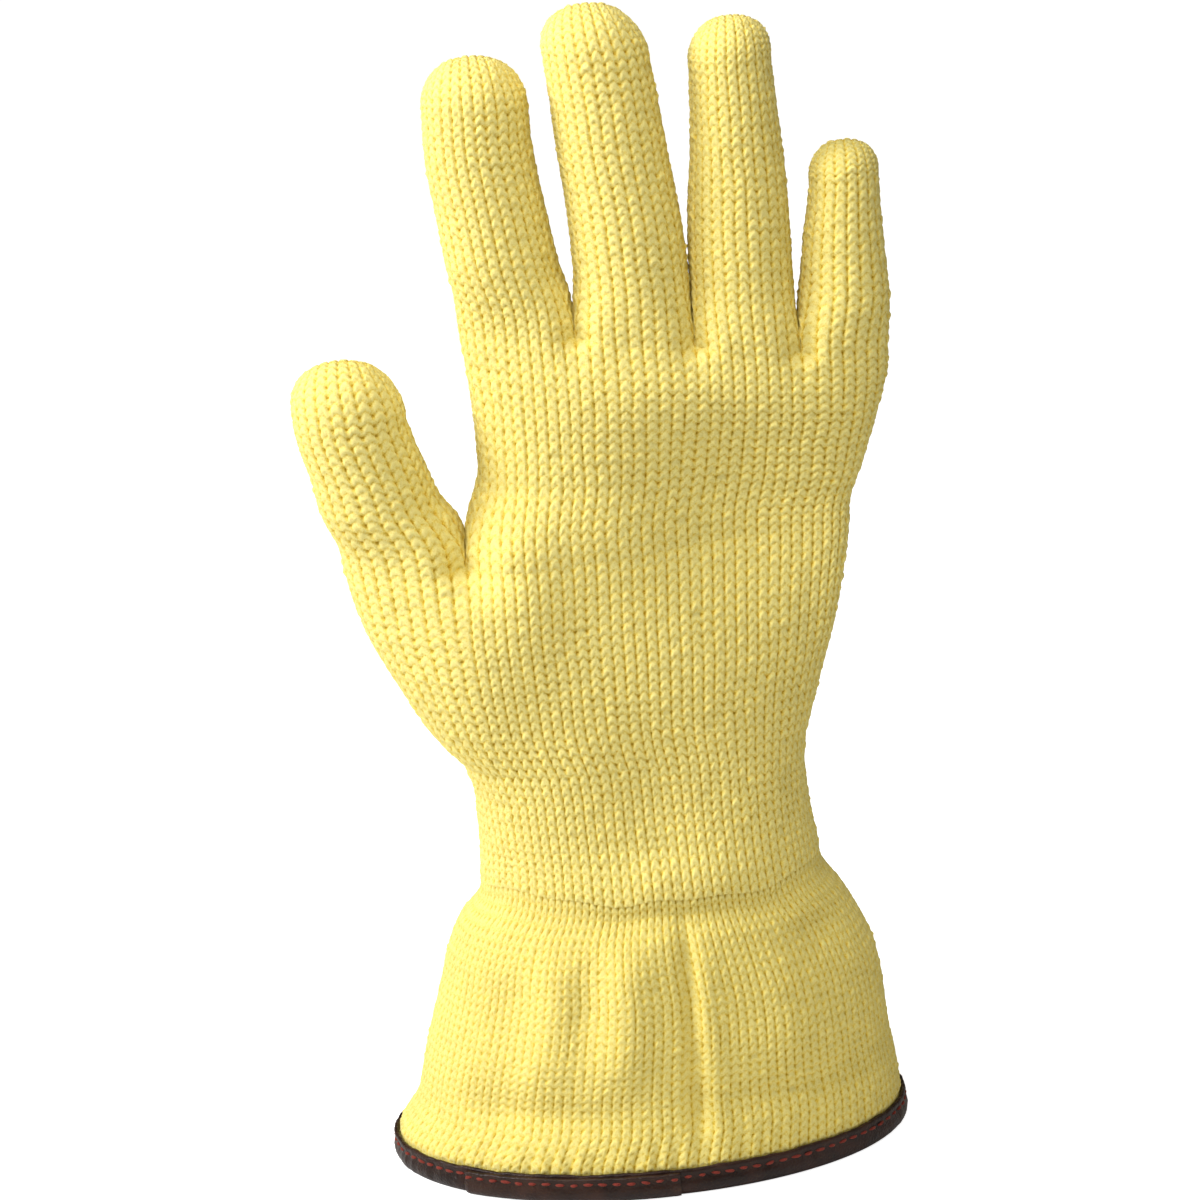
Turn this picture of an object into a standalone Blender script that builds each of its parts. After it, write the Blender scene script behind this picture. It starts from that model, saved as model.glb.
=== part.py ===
"""A heavy knitted gauntlet glove for one hand, standing upright on its bound rim.

Millimetres in the constants, metres in the model.  The rim lies on z = 0, the
palm faces -Y, the thumb is on the -X side and the fingers point up.  The knit
is one seamless tube on the real glove; here it is cut into its knitted
sections, with a thin gap at each place where the hand inside it bends.
"""
import math

import bmesh
import bpy
from mathutils import Vector

# ---------------------------------------------------------------- dimensions
MM = 0.001
WALL = 2.6              # thickness of the heavy plain knit
GAP = 0.35              # clearance between neighbouring sections
FINGER_SIDES = 16
HAND_SIDES = 32
CUFF_SIDES = 40
TAPE_SIDES = 64
CENTRING = (-0.616, 0.675, 0.0)   # puts the middle of the whole glove on the origin

TAPE_HEIGHT = 7.5       # legs of the leather tape that binds the rim
TAPE_THICK = 1.0
HEM_Z = TAPE_THICK + 0.5
OVERLAP_SPAN = (225.5, 275.0)   # degrees round the rim covered by the lapped end
OVERLAP_TOP = 6.8
THREAD_RADIUS = 0.45
THREAD_Z = 5.1
STITCH_COUNT = 60

CUFF_TOP = 75.0
SEAM_TOP = 77.2
WRIST_TOP = 110.6

# Outer surface of the knit, each row: height, middle x, middle y, half width,
# half depth, and how much the row leans down per millimetre of x.
CUFF = [
    (8.2, -1.3, 0.0, 67.9, 45.7, 0.0),
    (14.0, 1.2, 0.0, 65.2, 44.6, 0.0),
    (26.0, 1.9, 0.0, 62.6, 43.0, 0.0),
    (37.0, 3.2, 0.0, 60.8, 41.6, 0.0),
    (48.0, 4.4, 0.0, 58.4, 39.8, 0.0),
    (60.0, 3.8, 0.0, 54.4, 37.2, 0.0),
    (70.0, 3.8, 0.0, 48.8, 33.6, 0.0),
    (76.0, 4.4, 0.0, 45.4, 31.6, 0.0),
]
WRIST = [
    (76.0, 4.4, 0.0, 45.4, 31.6, 0.0),
    (84.0, 4.2, 0.0, 44.4, 30.6, 0.0),
    (97.0, 3.7, 0.0, 43.8, 29.6, 0.0),
    (105.0, 3.5, 0.0, 44.0, 29.0, 0.0),
    (112.0, 2.7, 0.0, 46.0, 28.4, 0.0),
]
LOWER_PALM = [
    (110.0, 2.8, 0.0, 45.4, 28.6, 0.0),
    (118.0, 0.6, -0.2, 50.4, 27.6, 0.0),
    (127.0, -0.4, -0.5, 54.1, 26.6, 0.0),
    (139.0, -1.4, -0.8, 59.3, 25.2, 0.0),
    (150.0, -2.4, -1.0, 63.0, 23.6, 0.0),
    (163.0, -2.4, -1.2, 65.8, 22.0, 0.0),
]
UPPER_PALM = [
    (160.0, 14.6, -0.6, 48.2, 21.8, 0.0),
    (170.0, 15.6, -0.6, 49.4, 21.0, 0.0),
    (180.0, 18.0, -0.5, 49.7, 20.2, 0.0),
    (190.0, 19.9, -0.4, 51.0, 19.2, 0.03),
    (200.0, 21.4, -0.2, 52.8, 18.0, 0.08),
    (209.0, 22.2, 0.0, 54.4, 16.4, 0.13),
    (217.0, 22.5, 0.0, 55.8, 14.8, 0.17),
]
THUMB = [
    (146.0, -48.5, -1.5, 15.5, 16.5, 0.0),
    (158.0, -51.6, -2.5, 16.0, 16.2, 0.0),
    (170.0, -54.5, -3.5, 16.2, 15.6, 0.0),
    (181.0, -57.4, -4.6, 15.4, 15.0, 0.0),
    (192.0, -59.8, -5.6, 14.8, 14.4, 0.0),
    (203.0, -62.4, -6.6, 14.6, 13.8, 0.0),
    (221.0, -61.6, -7.4, 13.4, 12.8, 0.0),
]
INDEX = [
    (198.0, -16.9, -0.2, 14.4, 14.6, 0.0),
    (225.0, -18.5, -0.4, 14.2, 13.5, 0.0),
    (250.0, -21.4, -0.7, 14.1, 12.9, 0.0),
    (272.0, -23.7, -1.2, 13.8, 12.6, 0.0),
    (295.5, -22.6, -2.0, 13.0, 12.0, 0.0),
]
MIDDLE = [
    (198.0, 12.6, -0.6, 14.2, 14.8, 0.0),
    (223.0, 12.6, -1.2, 14.2, 13.8, 0.0),
    (250.0, 11.9, -1.6, 14.3, 13.2, 0.0),
    (272.0, 9.8, -2.0, 13.9, 12.9, 0.0),
    (306.5, 8.2, -3.0, 13.0, 12.2, 0.0),
]
RING = [
    (196.0, 40.0, 0.4, 12.8, 14.2, 0.0),
    (218.0, 40.2, 0.6, 12.8, 13.4, 0.0),
    (246.0, 41.0, 0.8, 12.9, 12.7, 0.0),
    (268.0, 41.9, 0.4, 12.3, 12.2, 0.0),
    (300.0, 41.3, -0.6, 10.8, 11.0, 0.0),
]
LITTLE = [
    (190.0, 64.6, 1.2, 12.2, 13.4, 0.0),
    (213.0, 66.4, 1.4, 11.7, 12.2, 0.0),
    (235.0, 67.3, 1.4, 10.8, 11.2, 0.0),
    (265.5, 69.3, 0.8, 9.0, 9.6, 0.0),
]

# Each digit: its rows, the top of its collar on the palm, the heights of its
# hinges, how far the soft ring reaches either side of each, and the cap height.
DIGITS = {
    "thumb": (THUMB, 171.0, (177.6, 197.4), (6.4, 6.6), 13.5),
    "index": (INDEX, 228.6, (235.2, 254.8, 274.4), (6.4, 6.8, 6.0), 12.5),
    "middle": (MIDDLE, 227.0, (234.0, 259.0, 282.0), (6.6, 7.2, 6.2), 12.5),
    "ring": (RING, 221.0, (228.0, 253.0, 276.0), (6.6, 7.2, 6.2), 12.0),
    "little": (LITTLE, 216.6, (221.8, 236.6, 250.4), (5.0, 5.4, 3.6), 9.5),
}
THUMB_SPLIT_Z = 163.0
THUMB_SPLIT_X = -35.8
FINGER_SPLIT_Z = 216.4
FINGER_SPLITS_X = [-3.0, 27.1, 53.9]
PALM_JOIN = 170.4
THUMB_PARTS = ("base", "tip")
FINGER_PARTS = ("knuckle", "middle_joint", "tip_joint")
HINGE_FORWARD = 3.0     # hinges lie this far towards the palm side of the middle
WRIST_HINGE_Z = 96.0
ROUNDNESS_HAND = 2.5    # 2 is an ellipse, more is squarer
ROUNDNESS_DIGIT = 2.15

# ------------------------------------------------------------------ finishes
YELLOW_KNIT = (0.84, 0.66, 0.15)
DEEP_KNIT = (0.78, 0.58, 0.11)
FINE_KNIT = (0.82, 0.65, 0.17)
SEAM_YARN = (0.72, 0.52, 0.10)
DARK_LEATHER = (0.036, 0.018, 0.013)
LAPPED_LEATHER = (0.045, 0.023, 0.016)
RED_BROWN_THREAD = (0.16, 0.040, 0.022)


for old in list(bpy.data.objects):
    bpy.data.objects.remove(old, do_unlink=True)


def finish(name, colour, roughness):
    material = bpy.data.materials.new(name + "_finish")
    material.use_nodes = True
    shader = material.node_tree.nodes["Principled BSDF"]
    shader.inputs["Base Color"].default_value = (*colour, 1.0)
    shader.inputs["Roughness"].default_value = roughness
    shader.inputs["Metallic"].default_value = 0.0
    return material


def row_at(rows, height):
    """The row at a height, on a smooth curve through the given rows."""
    z = min(max(height, rows[0][0]), rows[-1][0])
    last = len(rows) - 1
    n = 0
    while n < last - 1 and z > rows[n + 1][0]:
        n += 1
    before = rows[max(n - 1, 0)]
    low = rows[n]
    high = rows[n + 1]
    after = rows[min(n + 2, last)]
    step = high[0] - low[0]
    t = (z - low[0]) / step
    result = [height]
    for k in range(1, 6):
        slope_low = (high[k] - before[k]) / (high[0] - before[0])
        slope_high = (after[k] - low[k]) / (after[0] - low[0])
        a = (1 + 2 * t) * (1 - t) ** 2 * low[k]
        b = t * (1 - t) ** 2 * step * slope_low
        c = t * t * (3 - 2 * t) * high[k]
        d = t * t * (t - 1) * step * slope_high
        result.append(a + b + c + d)
    return tuple(result)


def ring_points(row, inset, sides, power, start=0.0):
    """One flat loop of points round a section, inset from its outer surface."""
    z, mid_x, mid_y, half_w, half_d, lean = row
    half_w = max(half_w - inset, 0.3)
    half_d = max(half_d - inset, 0.3)
    points = []
    for n in range(sides):
        angle = math.radians(start) + 2 * math.pi * n / sides
        c = math.cos(angle)
        s = math.sin(angle)
        x = math.copysign(abs(c) ** (2 / power), c) * half_w
        y = math.copysign(abs(s) ** (2 / power), s) * half_d
        points.append(Vector((mid_x + x, mid_y + y, z - lean * x)))
    return points


def add_ring(mesh, points, pivot):
    return [mesh.verts.new((p - pivot) * MM) for p in points]


def bridge(mesh, low, high):
    count = len(low)
    for n in range(count):
        m = (n + 1) % count
        mesh.faces.new((low[n], low[m], high[m], high[n]))


def heights(low, high, spacing):
    count = max(int(round((high - low) / spacing)), 1)
    return [low + (high - low) * n / count for n in range(count + 1)]


def place(name, mesh, colour, roughness, parent, pivot):
    """Turn a bmesh, already relative to its pivot, into a named object."""
    bmesh.ops.recalc_face_normals(mesh, faces=mesh.faces)
    data = bpy.data.meshes.new(name)
    mesh.to_mesh(data)
    mesh.free()
    thing = bpy.data.objects.new(name, data)
    bpy.context.scene.collection.objects.link(thing)
    data.materials.append(finish(name, colour, roughness))
    home = parent["home"] if parent else (0.0, 0.0, 0.0)
    thing.parent = parent
    thing.location = (pivot - Vector(home)) * MM
    return thing


def pivot_empty(name, at, parent):
    """An empty on a hinge line, which carries everything that turns about it."""
    empty = bpy.data.objects.new(name, None)
    bpy.context.scene.collection.objects.link(empty)
    empty.empty_display_size = 0.01
    home = parent["home"] if parent else (0.0, 0.0, 0.0)
    empty.parent = parent
    empty.location = (at - Vector(home)) * MM
    empty["home"] = tuple(at)
    return empty


def capped_row(rows, z, top, cap):
    """A row that closes like half an ellipsoid over the last cap millimetres."""
    row = row_at(rows, z)
    start = top - cap
    if z <= start:
        return row
    share = min((z - start) / cap, 0.999)
    shrink = math.sqrt(1 - share * share)
    return (z, row[1], row[2], row[3] * shrink, row[4] * shrink, row[5])


def tube(rows, low, high, sides, power, pivot, spacing=6.5):
    """An open length of knit tube with square-cut ends."""
    mesh = bmesh.new()
    levels = heights(low, high, spacing)
    if low < rows[0][0] < high:
        levels = [low] + heights(rows[0][0], high, spacing)
    outer = [add_ring(mesh, ring_points(row_at(rows, z), 0, sides, power), pivot) for z in levels]
    inner = [add_ring(mesh, ring_points(row_at(rows, z), WALL, sides, power), pivot) for z in levels]
    for n in range(len(levels) - 1):
        bridge(mesh, outer[n], outer[n + 1])
        bridge(mesh, inner[n + 1], inner[n])
    bridge(mesh, inner[0], outer[0])
    bridge(mesh, outer[-1], inner[-1])
    return mesh


def dome_levels(low, top, cap):
    """Heights up a capped tube, closer together towards the crown."""
    start = top - cap
    levels = heights(low, start, 6.5) if start > low + 1 else [low]
    for degrees in (24, 44, 61, 76):
        z = start + cap * math.sin(math.radians(degrees))
        if z > low + 0.5:
            levels.append(z)
    return levels


def closed_end(rows, low, top, cap, sides, power, pivot):
    """A digit's end: a tube that closes in a dome, hollow inside."""
    mesh = bmesh.new()
    outer = []
    for z in dome_levels(low, top, cap):
        points = ring_points(capped_row(rows, z, top, cap), 0, sides, power)
        outer.append(add_ring(mesh, points, pivot))
    inner = []
    for z in dome_levels(low, top - WALL, cap):
        points = ring_points(capped_row(rows, z, top - WALL, cap), WALL, sides, power)
        inner.append(add_ring(mesh, points, pivot))
    for n in range(len(outer) - 1):
        bridge(mesh, outer[n], outer[n + 1])
    for n in range(len(inner) - 1):
        bridge(mesh, inner[n + 1], inner[n])
    bridge(mesh, inner[0], outer[0])
    for loop, crown, turn in ((outer[-1], top, False), (inner[-1], top - WALL, True)):
        row = row_at(rows, crown)
        peak = mesh.verts.new((Vector((row[1], row[2], crown)) - pivot) * MM)
        for n in range(sides):
            a = loop[n]
            b = loop[(n + 1) % sides]
            mesh.faces.new((b, a, peak) if turn else (a, b, peak))
    return mesh


def hand_loop(row, turns):
    """A section of the hand as matching front and back points, left to right."""
    z, mid_x, mid_y, half_w, half_d, lean = row
    front = []
    back = []
    for turn in turns:
        u = -math.cos(turn)
        x = u * half_w
        deep = half_d * max(1 - abs(u) ** ROUNDNESS_HAND, 0.0) ** (1 / ROUNDNESS_HAND)
        height = z - lean * x
        front.append(Vector((mid_x + x, mid_y - deep, height)))
        back.append(Vector((mid_x + x, mid_y + deep, height)))
    return front, back


def split_turns(row, splits, counts):
    """Angles across the hand that put a point exactly on each split."""
    edges = [0.0]
    for x in splits:
        edges.append(math.acos(-(x - row[1]) / row[3]))
    edges.append(math.pi)
    turns = [0.0]
    for n, count in enumerate(counts):
        for k in range(1, count + 1):
            turns.append(edges[n] + (edges[n + 1] - edges[n]) * k / count)
    return turns


def saddle_points(front, back, rise, count):
    """The knit carried from front to back between two digits."""
    points = []
    for k in range(1, count + 1):
        t = k / (count + 1)
        arch = rise * 4 * t * (1 - t)
        points.append(front.lerp(back, t) + Vector((0.0, 0.0, arch)))
    return points


def towards(point, row, power):
    """The point of a section that lies in the same direction from its middle."""
    z, mid_x, mid_y, half_w, half_d, lean = row
    angle = math.atan2((point.y - mid_y) / half_d, (point.x - mid_x) / half_w)
    c = math.cos(angle)
    s = math.sin(angle)
    x = math.copysign(abs(c) ** (2 / power), c) * half_w
    y = math.copysign(abs(s) ** (2 / power), s) * half_d
    return Vector((mid_x + x, mid_y + y, z - lean * x))


def narrowed(row, inset):
    """The same section with its outline moved inwards."""
    return (row[0], row[1], row[2], row[3] - inset, row[4] - inset, row[5])


def branching_surface(mesh, trunk, splits, branches, rise, inset, pivot):
    """One face of the knit where a section of the hand divides at its top.

    The trunk is (rows, low, high).  Each branch is (rows, top, power, count),
    where count is how many points it takes along the front of the hand.
    Returns the open loop at the bottom and the open loop of each branch.
    """
    rows, low, high = trunk
    counts = [branch[3] for branch in branches]
    turns = split_turns(row_at(rows, high), splits, counts)
    last = len(turns) - 1
    loops = []
    for z in heights(low, high - inset, 7.0):
        front, back = hand_loop(narrowed(row_at(rows, z), inset), turns)
        loops.append(add_ring(mesh, front + back[last - 1:0:-1], pivot))
    strips = list(zip(loops, loops[1:]))
    top = loops[-1]
    open_ends = []
    edge = 0
    old_chain = []
    old_points = []
    for b_rows, b_top, power, count in branches:
        right = edge + count
        verts = top[edge:right + 1]
        points = front[edge:right + 1]
        chain = []
        chain_points = []
        if right < last:
            chain_points = saddle_points(front[right], back[right], rise, 2)
            chain = add_ring(mesh, chain_points, pivot)
            verts = verts + chain + [top[2 * last - right]]
            points = points + chain_points + [back[right]]
        for k in range(right - 1, max(edge, 1) - 1, -1):
            verts = verts + [top[2 * last - k]]
            points = points + [back[k]]
        verts = verts + old_chain[::-1]
        points = points + old_points[::-1]
        row = narrowed(row_at(b_rows, b_top), inset)
        targets = [towards(point, row, power) for point in points]
        for share in (0.4, 0.75, 1.0):
            ease = share * share * (3 - 2 * share)
            ring = []
            for point, target in zip(points, targets):
                moved = point.lerp(target, ease)
                moved.z = point.z + (target.z - point.z) * share
                ring.append(moved)
            upper = add_ring(mesh, ring, pivot)
            strips.append((verts, upper))
            verts = upper
        open_ends.append(verts)
        edge = right
        old_chain = chain
        old_points = chain_points
    for lower, upper in strips:
        if inset:
            bridge(mesh, upper, lower)
        else:
            bridge(mesh, lower, upper)
    return loops[0], open_ends


def branching_shell(name, trunk, splits, branches, rise, colour, parent, pivot):
    """A hollow section of the hand that divides into smaller tubes."""
    mesh = bmesh.new()
    outer, outer_ends = branching_surface(mesh, trunk, splits, branches, rise, 0.0, pivot)
    inner, inner_ends = branching_surface(mesh, trunk, splits, branches, rise, WALL, pivot)
    bridge(mesh, inner, outer)
    for outside, inside in zip(outer_ends, inner_ends):
        bridge(mesh, outside, inside)
    return place(name, mesh, colour, 0.9, parent, pivot)


def profile_ring(profile, sides, pivot):
    """Sweep a small closed profile of (outward, z) points round the hem line."""
    mesh = bmesh.new()
    loops = []
    for n in range(sides):
        loop = []
        for outward, z in profile:
            row = (z, *CUFF[0][1:])
            point = ring_points(row, WALL / 2 - outward, sides, 2.0)[n]
            loop.append(mesh.verts.new((point - pivot) * MM))
        loops.append(loop)
    for n in range(sides):
        bridge(mesh, loops[n], loops[(n + 1) % sides])
    return mesh


def hem_point(degrees, outward, z):
    """A point at an angle round the hem, a distance out from its mid-line."""
    half_w = CUFF[0][3] - WALL / 2 + outward
    half_d = CUFF[0][4] - WALL / 2 + outward
    angle = math.radians(degrees)
    return Vector((CUFF[0][1] + half_w * math.cos(angle), half_d * math.sin(angle), z))


def thread_loop(count, outward_at, radius, z, pivot):
    """A closed thread that rises and dips once for each stitch."""
    mesh = bmesh.new()
    loops = []
    for n in range(count * 2):
        degrees = 360.0 * n / (count * 2)
        lift = radius * 0.35 * (1 if n % 2 else -1)
        sign = 1 if outward_at(degrees) > 0 else -1
        centre = outward_at(degrees) + sign * (radius * 0.35 + lift)
        loop = []
        for k in range(4):
            turn = 2 * math.pi * k / 4
            offset = centre + radius * math.cos(turn)
            point = hem_point(degrees, offset, z + radius * math.sin(turn))
            loop.append(mesh.verts.new((point - pivot) * MM))
        loops.append(loop)
    for n in range(count * 2):
        bridge(mesh, loops[n], loops[(n + 1) % (count * 2)])
    return mesh


# ------------------------------------------------------- the bound, flared cuff
ORIGIN = Vector((0.0, 0.0, 0.0))
tape_face = WALL / 2 + 0.3 + TAPE_THICK
tape_profile = [
    (tape_face, 0.0),
    (tape_face, TAPE_HEIGHT),
    (tape_face - TAPE_THICK, TAPE_HEIGHT),
    (tape_face - TAPE_THICK, TAPE_THICK),
    (TAPE_THICK - tape_face, TAPE_THICK),
    (TAPE_THICK - tape_face, TAPE_HEIGHT),
    (-tape_face, TAPE_HEIGHT),
    (-tape_face, 0.0),
]
place("binding_tape", profile_ring(tape_profile, TAPE_SIDES, ORIGIN), DARK_LEATHER, 0.5, None, ORIGIN)

lap = bmesh.new()
lap_loops = []
lap_steps = 18
for n in range(lap_steps + 1):
    degrees = OVERLAP_SPAN[0] + (OVERLAP_SPAN[1] - OVERLAP_SPAN[0]) * n / lap_steps
    low_out = tape_face + GAP
    high_out = low_out + TAPE_THICK
    corners = ((low_out, 0.25), (high_out, 0.25), (high_out, OVERLAP_TOP), (low_out, OVERLAP_TOP))
    lap_loops.append([lap.verts.new(hem_point(degrees, out, z) * MM) for out, z in corners])
for n in range(lap_steps):
    bridge(lap, lap_loops[n], lap_loops[n + 1])
lap.faces.new(list(reversed(lap_loops[0])))
lap.faces.new(lap_loops[-1])
place("binding_lapped_end", lap, LAPPED_LEATHER, 0.45, None, ORIGIN)


def needle_side(degrees):
    """How far out the upper thread runs: it steps up over the lapped end."""
    base = tape_face + GAP + THREAD_RADIUS
    raised = base + TAPE_THICK + GAP
    room = 3.5
    if OVERLAP_SPAN[0] - room < degrees < OVERLAP_SPAN[1] + room:
        return raised
    return base


def bobbin_side(degrees):
    return -(tape_face + GAP + THREAD_RADIUS)


needle = thread_loop(STITCH_COUNT, needle_side, THREAD_RADIUS, THREAD_Z, ORIGIN)
place("binding_needle_thread", needle, RED_BROWN_THREAD, 0.7, None, ORIGIN)
bobbin = thread_loop(STITCH_COUNT, bobbin_side, THREAD_RADIUS, THREAD_Z, ORIGIN)
place("binding_bobbin_thread", bobbin, RED_BROWN_THREAD, 0.7, None, ORIGIN)

cuff_mesh = tube(CUFF, HEM_Z, CUFF_TOP, CUFF_SIDES, 2.0, ORIGIN, 8.0)
place("gauntlet_cuff", cuff_mesh, FINE_KNIT, 0.9, None, ORIGIN)

# The cuff panel is closed up its palm side; the allowance of the seam is inside.
closing = bmesh.new()
closing_loops = []
for z in heights(12.0, 70.0, 6.5):
    row = row_at(CUFF, z)
    lean = 283.0 - 9.0 * (z - 12.0) / 58.0
    loop = []
    for depth, turn in ((0.4, -1.6), (0.4, 1.6), (2.0, 1.1), (2.0, -1.1)):
        angle = math.radians(lean + turn)
        half_w = row[3] - WALL - depth
        half_d = row[4] - WALL - depth
        point = Vector((row[1] + half_w * math.cos(angle), half_d * math.sin(angle), z))
        loop.append(closing.verts.new(point * MM))
    closing_loops.append(loop)
for n in range(len(closing_loops) - 1):
    bridge(closing, closing_loops[n], closing_loops[n + 1])
closing.faces.new(list(reversed(closing_loops[0])))
closing.faces.new(closing_loops[-1])
place("cuff_closing_seam", closing, SEAM_YARN, 0.9, None, ORIGIN)

linking = tube(WRIST, CUFF_TOP + GAP, SEAM_TOP, CUFF_SIDES, 2.0, ORIGIN)
place("wrist_linking_seam", linking, SEAM_YARN, 0.9, None, ORIGIN)

# ------------------------------------------------------------ wrist and palm
wrist_pivot = pivot_empty("wrist_pivot", Vector((3.7, -2.0, WRIST_HINGE_Z)), None)
wrist_mesh = tube(WRIST, SEAM_TOP + GAP, WRIST_TOP, HAND_SIDES, 2.1, ORIGIN, 8.0)
place("wrist_section", wrist_mesh, YELLOW_KNIT, 0.9, None, ORIGIN)

palm_at = Vector(wrist_pivot["home"])
lower_branches = [
    (THUMB, DIGITS["thumb"][1], ROUNDNESS_DIGIT, 5),
    (UPPER_PALM, PALM_JOIN, ROUNDNESS_HAND, 12),
]
trunk = (LOWER_PALM, WRIST_TOP + GAP, THUMB_SPLIT_Z)
branching_shell("lower_palm", trunk, [THUMB_SPLIT_X], lower_branches, 2.5, YELLOW_KNIT, wrist_pivot, palm_at)

upper_branches = []
for digit in ("index", "middle", "ring", "little"):
    rows, collar = DIGITS[digit][:2]
    upper_branches.append((rows, collar, ROUNDNESS_DIGIT, 5))
trunk = (UPPER_PALM, PALM_JOIN + GAP, FINGER_SPLIT_Z)
branching_shell("upper_palm", trunk, FINGER_SPLITS_X, upper_branches, 2.0, YELLOW_KNIT, wrist_pivot, palm_at)

# -------------------------------------------------------------------- digits
for digit, (rows, collar, hinges, reaches, cap) in DIGITS.items():
    names = THUMB_PARTS if digit == "thumb" else FINGER_PARTS
    top = rows[-1][0]
    carrier = wrist_pivot
    edge = collar
    for n, (hinge, reach) in enumerate(zip(hinges, reaches)):
        row = row_at(rows, hinge)
        at = Vector((row[1], row[2] - HINGE_FORWARD, hinge))
        ring_top = hinge + reach
        soft = tube(rows, edge + GAP, ring_top, FINGER_SIDES, ROUNDNESS_DIGIT, Vector(carrier["home"]))
        home = Vector(carrier["home"])
        place(f"{digit}_{names[n]}_ring", soft, DEEP_KNIT, 0.9, carrier, home)
        carrier = pivot_empty(f"{digit}_{names[n]}_pivot", at, carrier)
        start = ring_top + GAP
        if n + 1 < len(hinges):
            end = hinges[n + 1] - reaches[n + 1]
            part = tube(rows, start, end, FINGER_SIDES, ROUNDNESS_DIGIT, at)
            label = "lower" if n == 0 else "middle"
            place(f"{digit}_{label}_tube", part, YELLOW_KNIT, 0.9, carrier, at)
            edge = end
        else:
            part = closed_end(rows, start, top, cap, FINGER_SIDES, ROUNDNESS_DIGIT, at)
            place(f"{digit}_tip", part, YELLOW_KNIT, 0.9, carrier, at)

# ------------------------------------------------------------------- centring
for thing in bpy.data.objects:
    if thing.parent is None:
        thing.location += Vector(CENTRING) * MM
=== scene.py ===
# %% [markdown]
# # A heavy knitted gauntlet glove
# The real glove is one seamless tube of coarse yellow knit, with a finer knitted cuff
# linked on below the wrist and a folded leather tape sewn round the rim.  The solid
# model gives every size here.  This file measures that model, lays a knitted surface
# over it stitch by stitch, and gives each piece its yarn, leather or thread.

import math

import bpy
import numpy as np
from mathutils import Matrix, Vector


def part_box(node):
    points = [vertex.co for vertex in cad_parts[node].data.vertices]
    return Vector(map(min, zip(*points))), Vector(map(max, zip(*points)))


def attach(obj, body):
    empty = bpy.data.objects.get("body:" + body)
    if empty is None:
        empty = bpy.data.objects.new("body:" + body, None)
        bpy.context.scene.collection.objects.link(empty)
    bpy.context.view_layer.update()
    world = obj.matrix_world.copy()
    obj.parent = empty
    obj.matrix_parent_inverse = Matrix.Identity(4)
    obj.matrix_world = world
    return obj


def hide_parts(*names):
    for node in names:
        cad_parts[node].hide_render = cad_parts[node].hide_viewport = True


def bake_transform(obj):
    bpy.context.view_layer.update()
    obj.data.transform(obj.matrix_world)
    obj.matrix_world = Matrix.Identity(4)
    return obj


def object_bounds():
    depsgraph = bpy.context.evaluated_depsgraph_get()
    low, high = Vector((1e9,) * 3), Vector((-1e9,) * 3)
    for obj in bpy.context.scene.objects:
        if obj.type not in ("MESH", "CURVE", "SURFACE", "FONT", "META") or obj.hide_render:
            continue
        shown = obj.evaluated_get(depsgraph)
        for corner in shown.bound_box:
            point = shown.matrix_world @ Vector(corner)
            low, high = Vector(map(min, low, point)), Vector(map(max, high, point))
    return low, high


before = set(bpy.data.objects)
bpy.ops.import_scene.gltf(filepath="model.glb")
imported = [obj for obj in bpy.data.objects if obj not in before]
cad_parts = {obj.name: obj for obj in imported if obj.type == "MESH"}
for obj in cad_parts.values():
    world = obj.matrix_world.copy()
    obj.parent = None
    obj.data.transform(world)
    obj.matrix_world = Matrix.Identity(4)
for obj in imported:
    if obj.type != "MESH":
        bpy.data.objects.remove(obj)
cad_low, cad_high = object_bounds()
MM = 0.001
print("solid model, mm:", [round(v / MM, 1) for v in cad_high - cad_low])

# %% [markdown]
# ## Measuring the solid model
# A knit follows the form beneath it, so the first job is to read that form.  A level
# cut through a node gives an outline, and its extent left to right and front to back
# is all that is needed, because every section of a glove is a rounded oval.  Cutting
# triangles with numpy is quick and works for any node, whatever made it.

# %% Level cuts through nodes
EVERYWHERE = 1e6          # wider than any part, mm
corner_cache = {}


def corners(name):
    """The triangles of a node as an array of corner points, in millimetres."""
    if name not in corner_cache:
        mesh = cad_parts[name].data
        mesh.calc_loop_triangles()
        points = np.empty(len(mesh.vertices) * 3)
        mesh.vertices.foreach_get("co", points)
        faces = np.empty(len(mesh.loop_triangles) * 3, int)
        mesh.loop_triangles.foreach_get("vertices", faces)
        corner_cache[name] = points.reshape(-1, 3)[faces.reshape(-1, 3)] / MM
    return corner_cache[name]


def section(names, height, lean=0.0, pivot_x=0.0, left=-EVERYWHERE, right=EVERYWHERE):
    """Middle x, middle y, half width and half depth of a cut, level or leaning.
    left and right keep to one branch of a forked node."""
    tris = np.concatenate([corners(name) for name in names])
    level = tris[:, :, 2] + lean * (tris[:, :, 0] - pivot_x) - height
    found = []
    for a, b in ((0, 1), (1, 2), (2, 0)):
        crossing = (level[:, a] >= 0) != (level[:, b] >= 0)
        share = level[crossing, a] / (level[crossing, a] - level[crossing, b])
        start, end = tris[crossing, a], tris[crossing, b]
        found.append(start + (end - start) * share[:, None])
    points = np.concatenate(found)
    points = points[(points[:, 0] > left) & (points[:, 0] < right)]
    low, high = points.min(0), points.max(0)
    return [*(low + high)[:2] / 2, *(high - low)[:2] / 2]


def box_mm(name):
    """Lowest and highest corners of a node, in millimetres."""
    low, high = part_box(name)
    return np.array(low) / MM, np.array(high) / MM


def measured_rows(names, clear=0.6, count=7):
    """Sections up a chain of nodes: height, middle x and y, half width, half depth."""
    rows = []
    for name in names:
        low, high = box_mm(name)
        for z in np.linspace(low[2] + clear, high[2] - clear, count):
            rows.append([z, *section([name], z)])
    return np.array(rows)


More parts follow.
